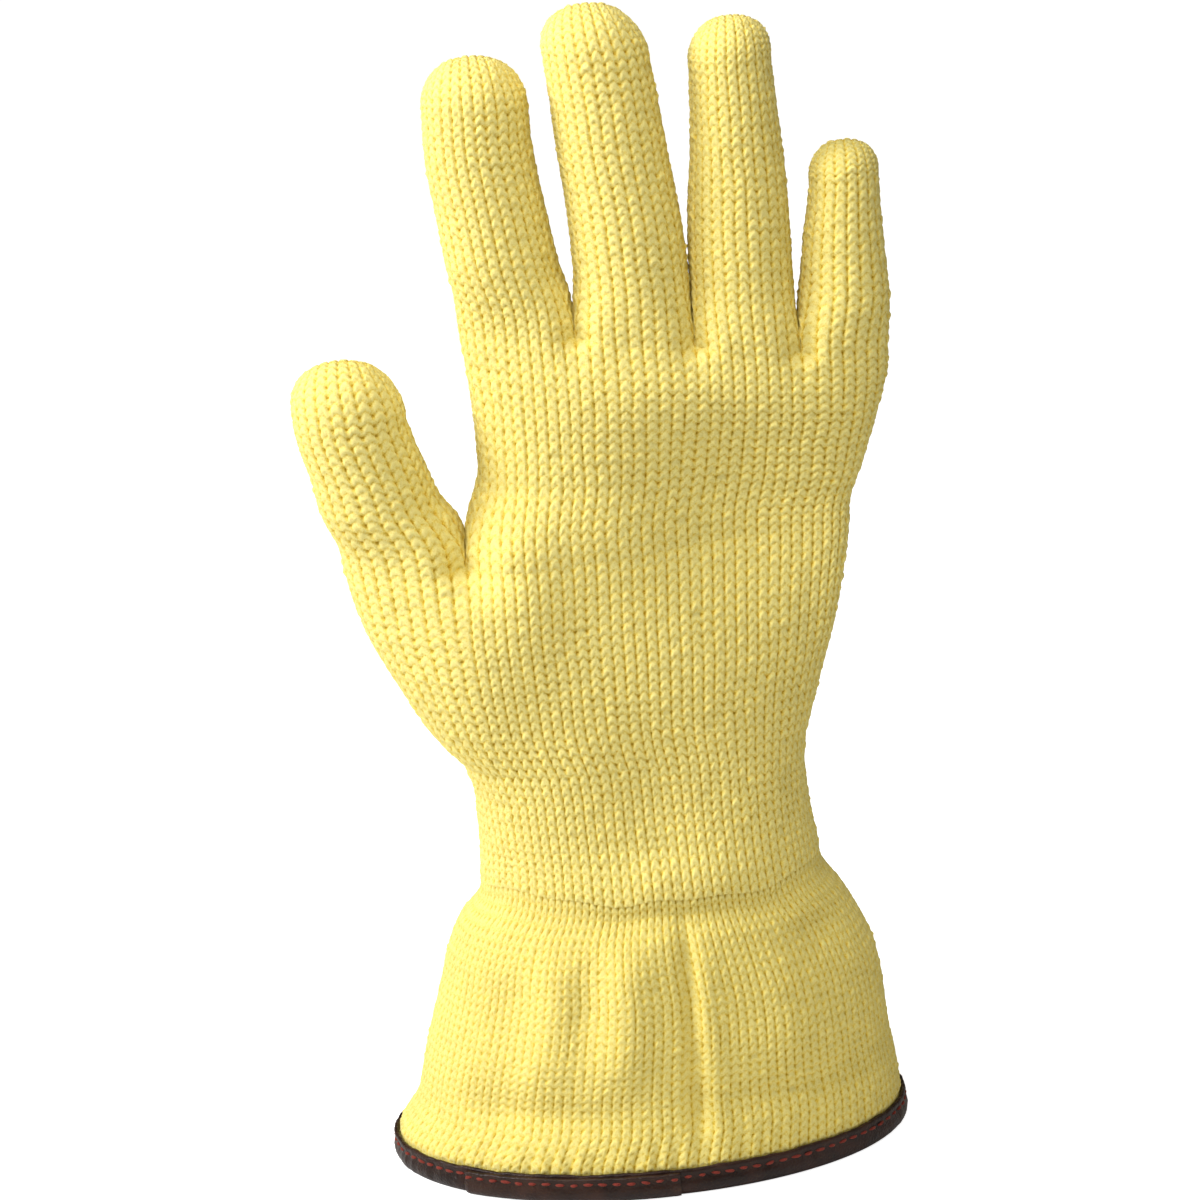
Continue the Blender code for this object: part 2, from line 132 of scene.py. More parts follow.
def row_at(rows, heights):
    """Smooth values of a table of rows at any heights."""
    return np.stack([np.interp(heights, rows[:, 0], rows[:, k]) for k in range(1, 5)], -1)


# %% [markdown]
# ## Counting stitches
# A column of stitches is a wale and a row is a course.  Each finger is knitted as its
# own tube.  Where two fingers meet, a few wales of each close the crotch between them,
# and the rest run on down into the palm.  The counts below add up the way a glove
# machine's do, so every wale on the palm can be followed up into one finger.

# %% Wale and course counts
COURSE = 2.65             # height of one stitch on the hand, mm
ACROSS = 8                # grid steps across one stitch
ALONG = 6                 # grid steps up one stitch
THUMB_FRONT = 10
PALM_FRONT = 36
THUMB_SADDLE = 4
FINGER_SADDLE = 4
FINGER_FRONT = {"index": 12, "middle": 9, "ring": 9, "little": 8}
HAND_FRONT = THUMB_FRONT + PALM_FRONT
UPPER_FRONT = PALM_FRONT + THUMB_SADDLE // 2
print("wales round: wrist", 2 * HAND_FRONT, "upper palm", 2 * UPPER_FRONT)

# %% [markdown]
# ## Spacing stitches evenly
# A worn section is a rounded oval, squarer across the palm and nearly round on a
# finger.  Equal angles would crowd the stitches at its ends, so the outline is measured
# first and the points go at equal lengths along it, as knitted loops would lie.

# %% Placing points round a section
HAND_POWER = 2.5          # 2 is an oval, more is squarer
DIGIT_POWER = 2.15


def around(values, share, power):
    """Points round sections at equal shares of their outline, from the left end
    forwards.  values is (rows, 4) and share is (rows, columns) from 0 to 1."""
    turn = math.pi + np.linspace(0, 2 * math.pi, 721)
    result = np.empty(share.shape + (2,))
    powers = np.broadcast_to(power, len(values))
    for n, (mid_x, mid_y, half_w, half_d) in enumerate(values):
        k = 2 / powers[n]
        c, s = np.cos(turn), np.sin(turn)
        x, y = np.sign(c) * np.abs(c) ** k * half_w, np.sign(s) * np.abs(s) ** k * half_d
        run = np.concatenate([[0], np.cumsum(np.hypot(np.diff(x), np.diff(y)))])
        at = np.interp(share[n] % 1.0, run / run[-1], turn)
        c, s = np.cos(at), np.sin(at)
        result[n, :, 0] = mid_x + np.sign(c) * np.abs(c) ** k * half_w
        result[n, :, 1] = mid_y + np.sign(s) * np.abs(s) ** k * half_d
    return result


def share_of(values, x, power):
    """How far along the front of a section, from 0 to 1, a given x lies."""
    share = np.linspace(0, 0.5, 400)[None]
    front = around(np.array([values]), share, power)[0, :, 0]
    return float(np.interp(x, front, share[0])) * 2


def with_heights(flat, levels):
    """Add one height to each row of a grid of x and y."""
    column_z = np.broadcast_to(levels[:, None, None], flat.shape[:2] + (1,))
    return np.concatenate([flat, column_z], -1)


def ease(t):
    """A smooth climb from 0 to 1."""
    t = np.clip(t, 0, 1)
    return t * t * (3 - 2 * t)


# %% [markdown]
# ## The form of the hand
# The solid model is a plain hand form.  A worn glove is not so even: the palm is
# hollow, the pad of the thumb and the pads below the fingers stand out, and the knit
# dips between the fingers.  These are small pushes on the front and back, each a soft
# bump with a middle and a reach.

# %% Bumps and hollows of the palm
# Each bump: middle x, middle z, reach in x, reach in z, how far out it stands.
palm_low, palm_high = box_mm("upper_palm")
heel_low, heel_high = box_mm("lower_palm")
PALM_MID_X = (palm_low[0] + palm_high[0]) / 2
PALM_TOP_Z = palm_high[2]
wrist_low = box_mm("wrist_section")[0]
EDGE_FADE = 16.0          # the push fades out this close to the side edges, mm
FRONT_BUMPS = [
    (PALM_MID_X + 8, palm_low[2] + 2, 25, 27, -11.0),
    (PALM_MID_X - 43, heel_high[2] - 14, 9, 14, 2.6),
    (heel_low[0] + 36, heel_high[2] - 22, 15, 24, 3.2),
    (PALM_MID_X - 2, PALM_TOP_Z - 22, 34, 11, 2.4),
    (PALM_MID_X + 27, palm_low[2] - 20, 22, 38, -5.0),
    (heel_low[0] + 80, wrist_low[2] + 24, 24, 22, -6.0),
    (heel_low[0] + 46, heel_low[2] + 8, 14, 14, -1.5),
]


def shape_palm(points):
    """Push the front of the hand in and out."""
    x, y, z = points[..., 0], points[..., 1], points[..., 2]
    push = np.zeros_like(x)
    for mid_x, mid_z, reach_x, reach_z, height in FRONT_BUMPS:
        push += height * np.exp(-(((x - mid_x) / reach_x) ** 2) - ((z - mid_z) / reach_z) ** 2)
    facing = ease(-y / EDGE_FADE)
    points[..., 1] = y - push * facing
    return points


def tuft(points, mid_x, mid_z, reach):
    """The small gathered ridge below a crotch, with a pinch above it."""
    x, y, z = points[..., 0], points[..., 1], points[..., 2]
    near = np.exp(-(((x - mid_x) / reach) ** 2))
    ridge = 1.3 * np.exp(-(((z - mid_z + 2.2) / 1.7) ** 2))
    pinch = 1.5 * np.exp(-(((z - mid_z - 0.8) / 1.4) ** 2))
    points[..., 1] = y - near * (ridge - pinch) * ease(-y / 5.0)
    return points


def dip(points, x_split, z_split, reach_x, below, depth, middle_y):
    """Draw the knit in from front and back at the foot of a crotch."""
    x, y, z = points[..., 0], points[..., 1], points[..., 2]
    near = np.exp(-(((x - x_split) / reach_x) ** 2) - (np.maximum(z_split - z, 0) / below) ** 2)
    points[..., 1] = middle_y + (y - middle_y) * (1 - depth * near)
    return points


# %% [markdown]
# ## Laying the tubes of knit
# Each tube is a grid of points: one step across for every part of a wale, one step up
# for every part of a course.  The wrist and heel of the hand are one tube.  At the
# fork its front and back points are shared out between the thumb and the palm, and a
# short saddle of wales closes the gap between them.  The palm forks again into the
# four fingers in the same way.  Keeping one grid all the way lets the stitches run
# on without a break.

# %% The tube from wrist to thumb fork
def columns_to_share(column, knots, shares):
    """Front columns to shares of the outline, mirrored for the back."""
    half = knots[-1]
    folded = np.minimum(column, 2 * half - column)
    front = np.interp(folded, knots, shares) / 2
    return np.where(column <= half, front, 1 - front)


FORK_Z = heel_high[2] - 5.2
HAND_START_Z = wrist_low[2] - 1.2
JOIN_POWER = 2.0          # the join with the cuff is a true oval
JOIN_COURSES = 6.0        # courses that follow the join's waviness
STRAIGHT_RUN = 18         # the wales run straight up this far, mm
trunk_rows = measured_rows(["wrist_section", "lower_palm"], count=14)
trunk_rows = trunk_rows[trunk_rows[:, 0] < FORK_Z - 1]
fork_values = section(["lower_palm"], FORK_Z - 1)
trunk_rows = np.concatenate([trunk_rows, [[FORK_Z, *fork_values]]])
thumb_low = section(["thumb_base_ring"], box_mm("thumb_base_ring")[0][2] + 1)
palm_foot = section(["upper_palm"], palm_low[2] + 1)
THUMB_SPLIT_X = (thumb_low[0] + thumb_low[2] + palm_foot[0] - palm_foot[2]) / 2
fork_share = share_of(fork_values, THUMB_SPLIT_X, HAND_POWER)

trunk_courses = int(round((FORK_Z - HAND_START_Z) / COURSE))
v = np.arange(trunk_courses * ALONG + 1) / ALONG
column = np.arange(2 * HAND_FRONT * ACROSS) / ACROSS
heights = HAND_START_Z + (FORK_Z - HAND_START_Z) * v / trunk_courses
even = THUMB_FRONT / HAND_FRONT
trunk_share = np.empty((len(v), len(column)))
for n, z in enumerate(heights):
    reach = ease((z - HAND_START_Z - STRAIGHT_RUN) / (FORK_Z - HAND_START_Z - STRAIGHT_RUN))
    edge = even + (fork_share - even) * reach
    trunk_share[n] = columns_to_share(column, [0, THUMB_FRONT, HAND_FRONT], [0, edge, 1])
squareness = JOIN_POWER + (HAND_POWER - JOIN_POWER) * ease((heights - HAND_START_Z) / 40.0)
flat = around(row_at(trunk_rows, heights), trunk_share, squareness)
trunk = with_heights(flat, heights)
JOIN_VALUES = row_at(trunk_rows, [HAND_START_Z])[0]


def join_wave(x, y):
    """How far the linked join strays from level as it goes round, in mm."""
    angle = np.arctan2(y - JOIN_VALUES[1], x - JOIN_VALUES[0])
    slow = 1.1 * np.sin(2 * angle + 0.6) + 0.8 * np.sin(5 * angle + 1.9)
    return slow + 0.4 * np.sin(11 * angle)


near_join = (1 - ease(v / JOIN_COURSES))[:, None]
trunk[..., 2] += join_wave(trunk[..., 0], trunk[..., 1]) * near_join
trunk = dip(trunk, THUMB_SPLIT_X, FORK_Z, 6.0, 6.0, 0.34, fork_values[1])
unshaped = trunk[..., 1].copy()
trunk = shape_palm(trunk)
above_join = ease(v / 5.0)[:, None]
trunk[..., 1] = unshaped + (trunk[..., 1] - unshaped) * above_join
trunk = tuft(trunk, THUMB_SPLIT_X - 1.5, FORK_Z - 1.0, 4.0)
print("wrist and heel:", trunk_courses, "courses,", trunk.shape[:2], "grid")


# %% [markdown]
# ## Where the tube forks
# The gap between two fingers is closed by a few wales cast across it, the saddle.
# Without them a fork would be a hole, or one sharp line.  So a branch starts on a ring
# made of its share of the parent's last row and of a saddle carried over the crotch,
# and takes up its own rounder section over a few courses.

# %% Branches with a saddle
def saddle(front, back, wales, rise):
    """Points carried from front to back over a crotch."""
    t = (np.arange(wales * ACROSS) / (wales * ACROSS))[:, None]
    line = front + (back - front) * t
    line[:, 2:] += rise * 4 * t * (1 - t)
    return line


def branch_base(ring, half, first, last, left, right, rise):
    """The ring at the foot of a branch: front, right saddle, back, left saddle."""
    a, b = first * ACROSS, last * ACROSS
    far_a, far_b = (2 * half - first) * ACROSS, (2 * half - last) * ACROSS
    size = len(ring)
    parts = [ring[a:b]]
    if right:
        parts.append(saddle(ring[b], ring[far_b % size], right, rise))
    parts.append(ring[far_b:far_a] if far_b < far_a else ring[:0])
    if left:
        parts.append(saddle(ring[far_a % size], ring[a], left, rise))
    base = np.concatenate(parts)
    return np.roll(base, (left // 2) * ACROSS, axis=0)


def branch(base, top_z, courses, rows, power, lean, spread, morph=4.0, shaper=None):
    """A tube that starts on its base ring and settles into its own sections."""
    v = np.arange(courses * ALONG + 1) / ALONG
    count = len(base)
    even = np.broadcast_to(np.arange(count) / count, (len(v), count))
    height = base[None, :, 2] + (top_z - base[None, :, 2]) * (v / courses)[:, None]
    share = even
    if spread is not None:
        share = even + (spread[None] - even) * ease(v / courses)[:, None]
    level = base[:, 2].mean() + (top_z - base[:, 2].mean()) * v / courses
    flat = around(row_at(rows, level), share, power)
    blend = ease(v / morph)[:, None, None]
    points = np.empty((len(v), count, 3))
    points[..., :2] = flat
    points[..., 2] = height
    if shaper:
        points = shaper(points)
    points[..., :2] = base[None, :, :2] + (points[..., :2] - base[None, :, :2]) * blend
    leaning = lean * (v / courses)[:, None] * (points[..., 0] - PALM_MID_X)
    points[..., 2] = height - leaning
    return points


# %% [markdown]
# ## The four-finger palm
# Above the thumb only the palm's wales carry on.  The finger forks aren't level: the
# little finger starts lower than the index finger, so the rows lean that way more and
# more.  The wales are shared out so that each fork falls between its two fingers.

# %% The upper palm
finger_names = list(FINGER_FRONT)
feet = {}
for name in finger_names:
    low = box_mm(f"{name}_knuckle_ring")[0]
    feet[name] = section([f"{name}_knuckle_ring"], low[2] + 1)
SPLITS_X = []
for left_name, right_name in zip(finger_names, finger_names[1:]):
    left_edge = feet[left_name][0] + feet[left_name][2]
    right_edge = feet[right_name][0] - feet[right_name][2]
    SPLITS_X.append((left_edge + right_edge) / 2)

collar_top = {name: box_mm(f"{name}_knuckle_ring")[0][2] for name in finger_names}
LEAN = 0.16               # fall of the finger forks, mm for every mm across
FINGER_FORK_Z = collar_top["index"] - 10.6
upper_rows = [[z, *section(["lower_palm"], z, left=THUMB_SPLIT_X)]
              for z in np.linspace(FORK_Z + 1.6, heel_high[2] - 1.4, 3)]
for z in np.linspace(heel_high[2] + 1.2, FINGER_FORK_Z - 0.5, 12):
    share = (z - FORK_Z) / (FINGER_FORK_Z - FORK_Z)
    upper_rows.append([z, *section(["upper_palm"], z, LEAN * share, PALM_MID_X)])
upper_rows = np.array(upper_rows)

first_row = trunk[-1]
upper_base = branch_base(first_row, HAND_FRONT, THUMB_FRONT, HAND_FRONT, THUMB_SADDLE, 0, 3.0)
knots = [0]
for name in finger_names:
    knots.append(knots[-1] + FINGER_FRONT[name])
top_values = upper_rows[-1, 1:]
knot_shares = [0] + [share_of(top_values, x, HAND_POWER) for x in SPLITS_X] + [1]
column = np.arange(2 * UPPER_FRONT * ACROSS) / ACROSS
spread = columns_to_share(column, knots, knot_shares)
upper_courses = int(round((FINGER_FORK_Z - FORK_Z) / COURSE))
upper = branch(upper_base, FINGER_FORK_Z, upper_courses, upper_rows, HAND_POWER, LEAN,
               spread, morph=7.0, shaper=shape_palm)
for x in SPLITS_X:
    z_here = FINGER_FORK_Z - LEAN * (x - PALM_MID_X)
    upper = dip(upper, x, z_here, 4.0, 4.5, 0.26, top_values[1])
    upper = tuft(upper, x + 1.0, z_here - 0.5, 4.0)
# The outer edge is drawn in a little, below the little finger.
edge_in = ease((upper[..., 0] - palm_high[0] + 20) / 18)
edge_in = edge_in * ease((upper[..., 2] - palm_low[2] - 12) / 22)
upper[..., 0] -= 1.2 * edge_in
print("upper palm:", upper_courses, "courses, splits at", np.round(SPLITS_X, 1))


# %% [markdown]
# ## Closing the tips
# A seamless glove's fingertip is closed like a bag: the wales run straight up the
# front and back and meet in a short line across the top.  A dome whose wales all met
# at one pole would look like a knitted cap instead.  So the points slide up a half
# ellipsoid with their x drawn in only a little, and end on that line.

# %% Digits
TIP_SHIFT = {"thumb": -1.4, "index": -0.3, "middle": -1.7, "ring": 0.7, "little": 0.5}
TRIM = {"ring": 0.9, "little": 0.7}    # narrower towards the tip, mm each side


def dome(values, start_z, height, shares, power, courses, shift):
    """The rows of a closed tip, from the tube's last row to the line on top."""
    mid_x, mid_y, half_w, half_d = values
    rim = around(np.array([values]), shares[None], power)[0]
    rows = []
    for k in range(1, courses * ALONG + 1):
        t = k / (courses * ALONG)
        c = math.cos(t * math.pi / 2)
        x = (rim[:, 0] - mid_x) * (1 - 0.36 * (1 - c))
        y = (rim[:, 1] - mid_y) * c
        flatness = 1 - np.abs(x / half_w) ** 2.3 - np.abs(y / half_d) ** 2.0
        edge = 1 - np.abs((rim[:, 0] - mid_x) / half_w) ** 2.3
        edge = edge - np.abs((rim[:, 1] - mid_y) / half_d) ** 2.0
        z = start_z + height * np.sqrt(np.clip(flatness - edge * c, 0, None))
        rows.append(np.stack([mid_x + x + shift * math.sin(t * math.pi / 2), mid_y + y, z], -1))
    return np.array(rows)


def digit(name, base, nodes, root, power=DIGIT_POWER, cap_share=0.94, cap_courses=7):
    """A finger or thumb: its open tube, then its closed tip, in one grid.  root says
    which node its foot is part of, and the space between forks where it stands."""
    rows = measured_rows(nodes, clear=0.5, count=5)
    parent, left, right = root
    foot, top_of_root = base[:, 2].max() + 2.0, box_mm(nodes[0])[0][2] - 0.6
    below = [[z, *section([parent], z, left=left, right=right)]
             for z in np.linspace(foot, top_of_root, 4) if top_of_root > foot]
    rows = np.concatenate([np.array(below).reshape(-1, 5), rows])
    top = box_mm(nodes[-1])[1][2]
    climb = (rows[:, 0] - foot) / (top - foot)
    trim = TRIM.get(name, 0.0) * ease((climb - 0.3) / 0.4)
    rows[:, 3] += 0.45 * ease(1 - climb / 0.45) - trim
    width = row_at(rows, [box_mm(nodes[-1])[0][2] + 1])[0][2]
    cap = width * cap_share
    start_z = top - cap
    rows = rows[rows[:, 0] < start_z]
    courses = int(round((start_z - base[:, 2].mean()) / COURSE))
    tube = branch(base, start_z, courses, rows, power, 0.0, None, morph=6.5)
    shares = np.arange(len(base)) / len(base)
    values = row_at(rows, [start_z])[0]
    tip = dome(values, start_z, cap, shares, power, cap_courses, TIP_SHIFT[name])
    lead = ease((np.arange(len(tube)) / ALONG - courses + 6) / 6)[:, None]
    tube[..., 0] += TIP_SHIFT[name] * 0.35 * lead
    tip[..., 0] += TIP_SHIFT[name] * 0.35
    print(name, "courses", courses + cap_courses, "wales", len(base) // ACROSS)
    return np.concatenate([tube, tip])


# %% [markdown]
# ## Laying the digits
# The thumb grows from the last row of the wrist's tube and the fingers from that of the
# palm.  Each takes its own front and back wales, and a saddle against each neighbour.

# %% The five digit grids
grids = {}
thumb_base = branch_base(first_row, HAND_FRONT, 0, THUMB_FRONT, 0, THUMB_SADDLE, 3.0)
thumb_nodes = ["thumb_base_ring", "thumb_lower_tube", "thumb_tip_ring", "thumb_tip"]
grids["thumb"] = digit("thumb", thumb_base, thumb_nodes, ("lower_palm", -EVERYWHERE, THUMB_SPLIT_X))
walls = [-EVERYWHERE, *SPLITS_X, EVERYWHERE]
edge = 0
for place, name in enumerate(finger_names):
    last = edge + FINGER_FRONT[name]
    left = FINGER_SADDLE if edge else 0
    right = FINGER_SADDLE if last < UPPER_FRONT else 0
    base = branch_base(upper[-1], UPPER_FRONT, edge, last, left, right, 2.6)
    parts = ["knuckle_ring", "lower_tube", "middle_joint_ring", "middle_tube"]
    parts += ["tip_joint_ring", "tip"]
    root = ("upper_palm", walls[place], walls[place + 1])
    grids[name] = digit(name, base, [f"{name}_{part}" for part in parts], root)
    edge = last

# %% [markdown]
# ## The stitch
# Plain knit shows its face as columns of small chevrons: each loop leans out from the
# one before it and back in again.  The yarn is thick, so every chevron is a rounded
# rope with a deep slot on each side, and small holes where four loops meet.  The
# relief is real geometry, because it shows on the outline and in the shadows.

# %% Relief of the knit
ROPE_HEIGHT = 1.05        # from the foot of a slot to the top of the yarn, mm
FUZZ = 0.055              # random roughness, mm
LEVEL = 0.88              # the height in a stitch that lies on the solid's surface


def stitch_relief(u, v, slope):
    """Height from 0 to 1 at a place in a stitch: u across it, v up the wale."""
    side = np.abs(2 * u - 1)
    off = np.sqrt(side ** 2 + 0.05) - 0.22
    phase = (v + slope * off) % 1.0
    rope = np.sqrt(np.clip(1 - np.abs(2 * phase - 1) ** 2.4, 0, 1))
    column = 1 - 0.42 * side ** 6
    hole = np.exp(-(((side - 1) / 0.22) ** 2) - (np.minimum(phase, 1 - phase) / 0.22) ** 2)
    return column * (0.48 + 0.52 * rope) - 0.42 * hole


# %% [markdown]
# ## Raising the stitches
# Every point of a grid is moved out or in along its own normal.  Hand and yarn are never
# perfectly even, so the wales wander a little, some loops are fuller than others, and a
# very fine roughness stands for loose fibre.

# %% Raising the stitches
def smooth_noise(shape, cells, seed):
    """Gentle random hills over a grid, from a few coarse random values."""
    source = np.random.default_rng(seed).normal(size=cells)
    rows = np.linspace(0, cells[0] - 1, shape[0])
    cols = np.linspace(0, cells[1], shape[1], endpoint=False)
    r0, c0 = np.floor(rows).astype(int), np.floor(cols).astype(int)
    fr, fc = ease(rows - r0)[:, None], ease(cols - c0)[None]
    r1, c1 = np.minimum(r0 + 1, cells[0] - 1), (c0 + 1) % cells[1]
    c0 = c0 % cells[1]
    top = source[np.ix_(r0, c0)] * (1 - fc) + source[np.ix_(r0, c1)] * fc
    low = source[np.ix_(r1, c0)] * (1 - fc) + source[np.ix_(r1, c1)] * fc
    return top * (1 - fr) + low * fr


def facing_out(points):
    """Unit normals of a closed grid, from its own neighbours."""
    across = np.roll(points, -1, 1) - np.roll(points, 1, 1)
    up = np.gradient(points, axis=0)
    normal = np.cross(across, up)
    return normal / np.maximum(np.linalg.norm(normal, axis=-1, keepdims=True), 1e-9)


def knit(points, seed, height=ROPE_HEIGHT, slope=0.74, across=ACROSS, along=ALONG,
         normals=None):
    """Raise the stitches on a grid.  Returns points, depth mask and yarn mask."""
    rows, cols = points.shape[:2]
    u = (np.arange(cols) / across)[None]
    v = (np.arange(rows) / along)[:, None]
    cells = (rows // along // 4 + 2, cols // across // 2)
    wobble = 0.07 * smooth_noise((rows, cols), cells, seed)
    wobble = wobble * np.sin(math.pi * v / max(v.max(), 1)) ** 0.5
    relief = stitch_relief((u + wobble) % 1.0, v + 0 * u, slope)
    rng = np.random.default_rng(seed + 7)
    wales, courses = cols // across, int(math.ceil(rows / along))
    own = rng.normal(size=(courses, wales))
    course = np.minimum((v + 0 * u).astype(int), courses - 1)
    per = own[course, (u + 0 * v).astype(int) % wales]
    swell = 1 + 0.12 * per * np.sin(math.pi * (v % 1.0)) ** 2
    normal = facing_out(points) if normals is None else normals
    lift = (relief * swell - LEVEL) * height
    fuzz = rng.normal(size=lift.shape)
    fuzz[0] = fuzz[-1] = 0
    lift = lift + FUZZ * fuzz
    return points + normal * lift[..., None], relief, per * np.sin(math.pi * (v % 1.0)) ** 2


# %% [markdown]
# ## From a grid to a mesh
# Every grid closes on itself round the tube, so each point joins the next one round
# and the next one up.  Two numbers go with each point: how deep it lies in its stitch,
# and how full its own loop is.  The yarn finish reads both.  The wide pieces also get
# a plain inner face, because the knit has a thickness and its inside can be seen.

# %% Building a mesh from a grid
KNIT_WALL = 2.3           # thickness of the hand's knit, mm
CUFF_WALL = 2.2


def grid_mesh(name, points, depth, tint, weld_top=False, inner=None):
    """A mesh object from a grid that closes on itself across its width."""
    rows, cols = points.shape[:2]
    index = np.arange(rows * cols).reshape(rows, cols)
    if weld_top:
        half = cols // 2
        for k in range(1, half):
            index[-1, cols - k] = index[-1, k]
    right = np.roll(index, -1, 1)
    quads = np.stack([index[:-1], right[:-1], right[1:], index[1:]], -1).reshape(-1, 4)
    spots, masks, tints = [points.reshape(-1, 3)], [depth.ravel()], [tint.ravel()]
    if inner is not None:
        count = inner.shape[0] * inner.shape[1]
        inside = np.arange(count).reshape(inner.shape[:2]) + rows * cols
        beside = np.roll(inside, -1, 1)
        back = np.stack([inside[1:], beside[1:], beside[:-1], inside[:-1]], -1).reshape(-1, 4)
        quads = np.concatenate([quads, back])
        spots.append(inner.reshape(-1, 3))
        masks.append(np.full(count, 0.45))
        tints.append(np.zeros(count))
    spots = np.concatenate(spots)
    masks, tints = np.concatenate(masks), np.concatenate(tints)
    used = np.unique(quads)
    order = np.full(len(spots), -1)
    order[used] = np.arange(len(used))
    quads = order[quads]
    mesh = bpy.data.meshes.new(name)
    mesh.vertices.add(len(used))
    mesh.vertices.foreach_set("co", (spots[used] * MM).ravel())
    mesh.loops.add(quads.size)
    mesh.loops.foreach_set("vertex_index", quads.ravel())
    mesh.polygons.add(len(quads))
    mesh.polygons.foreach_set("loop_start", np.arange(len(quads)) * 4)
    mesh.update(calc_edges=True)
    mesh.polygons.foreach_set("use_smooth", np.ones(len(quads), bool))
    for label, values in (("depth", masks), ("yarn", tints)):
        layer = mesh.attributes.new(label, "FLOAT", "POINT")
        layer.data.foreach_set("value", values[used].astype(np.float32))
    mesh.validate()
    thing = bpy.data.objects.new(name, mesh)
    bpy.context.scene.collection.objects.link(thing)
    return thing


def inside_of(points, thickness, across=ACROSS, along=ALONG, step=2):
    """A plain inner face, one thickness in, at a coarser spacing."""
    normal = facing_out(points)
    inner = points - normal * thickness
    rows = sorted(set(range(0, points.shape[0], along // step)) | {points.shape[0] - 1})
    return inner[rows][:, ::max(across // step, 1)]


# %% [markdown]
# ## Two helpers for shaders
# A shader is a tree of nodes.  One helper adds a node with its settings in a single
# line, the other a named socket to a shared group.

# %% Shared shader tools
def socket(group, name, kind, inward=True, default=None):
    """Make a named socket on a node group."""
    made = group.interface.new_socket(
        name=name, in_out="INPUT" if inward else "OUTPUT", socket_type=kind)
    if default is not None:
        made.default_value = default
    return made


def add(tree, kind, **values):
    """Add a node and set its properties."""
    node = tree.nodes.new(kind)
    for key, value in values.items():
        setattr(node, key, value)
    return node


# %% [markdown]
# ## Spun fibre
# Yarn is spun from many fine fibres, so no part of it is one flat colour.  A fine noise
# stands for the fibres and a broad one for slow changes along the glove.  The hand, the
# cuff and the sewing thread all use it, so it is one shared group.

# %% Spun fibre
def fibre_group():
    """Two scales of soft streaks: a brightness and a bump height."""
    group = bpy.data.node_groups.new("spun_fibre", "ShaderNodeTree")
    socket(group, "Fineness", "NodeSocketFloat", default=2200.0)
    socket(group, "Shade", "NodeSocketFloat", inward=False)
    socket(group, "Height", "NodeSocketFloat", inward=False)
    into, out = add(group, "NodeGroupInput"), add(group, "NodeGroupOutput")
    place = add(group, "ShaderNodeTexCoord")
    fine = add(group, "ShaderNodeTexNoise", noise_dimensions="3D")
    fine.inputs["Detail"].default_value = 3.0
    fine.inputs["Roughness"].default_value = 0.65
    group.links.new(place.outputs["Object"], fine.inputs["Vector"])
    group.links.new(into.outputs["Fineness"], fine.inputs["Scale"])
    broad = add(group, "ShaderNodeTexNoise", noise_dimensions="3D")
    broad.inputs["Scale"].default_value = 60.0
    broad.inputs["Detail"].default_value = 2.0
    group.links.new(place.outputs["Object"], broad.inputs["Vector"])
    mix = add(group, "ShaderNodeMath", operation="MULTIPLY_ADD")
    mix.inputs[1].default_value = 0.35
    group.links.new(broad.outputs["Fac"], mix.inputs[0])
    scale = add(group, "ShaderNodeMath", operation="MULTIPLY")
    scale.inputs[1].default_value = 0.65
    group.links.new(fine.outputs["Fac"], scale.inputs[0])
    group.links.new(scale.outputs[0], mix.inputs[2])
    group.links.new(mix.outputs[0], out.inputs["Shade"])
    group.links.new(fine.outputs["Fac"], out.inputs["Height"])
    return group


SPUN_FIBRE = fibre_group()


# %% [markdown]
# ## Yarn
# The yarn is a matt, pale yellow spun fibre.  Light that goes down between the
# stitches bounces from yarn to yarn and comes back a deeper gold, so the colour is
# mixed by how deep a point lies.  A fine noise breaks the surface up into fibres, and
# a little sheen gives the soft bright edge of fuzz.

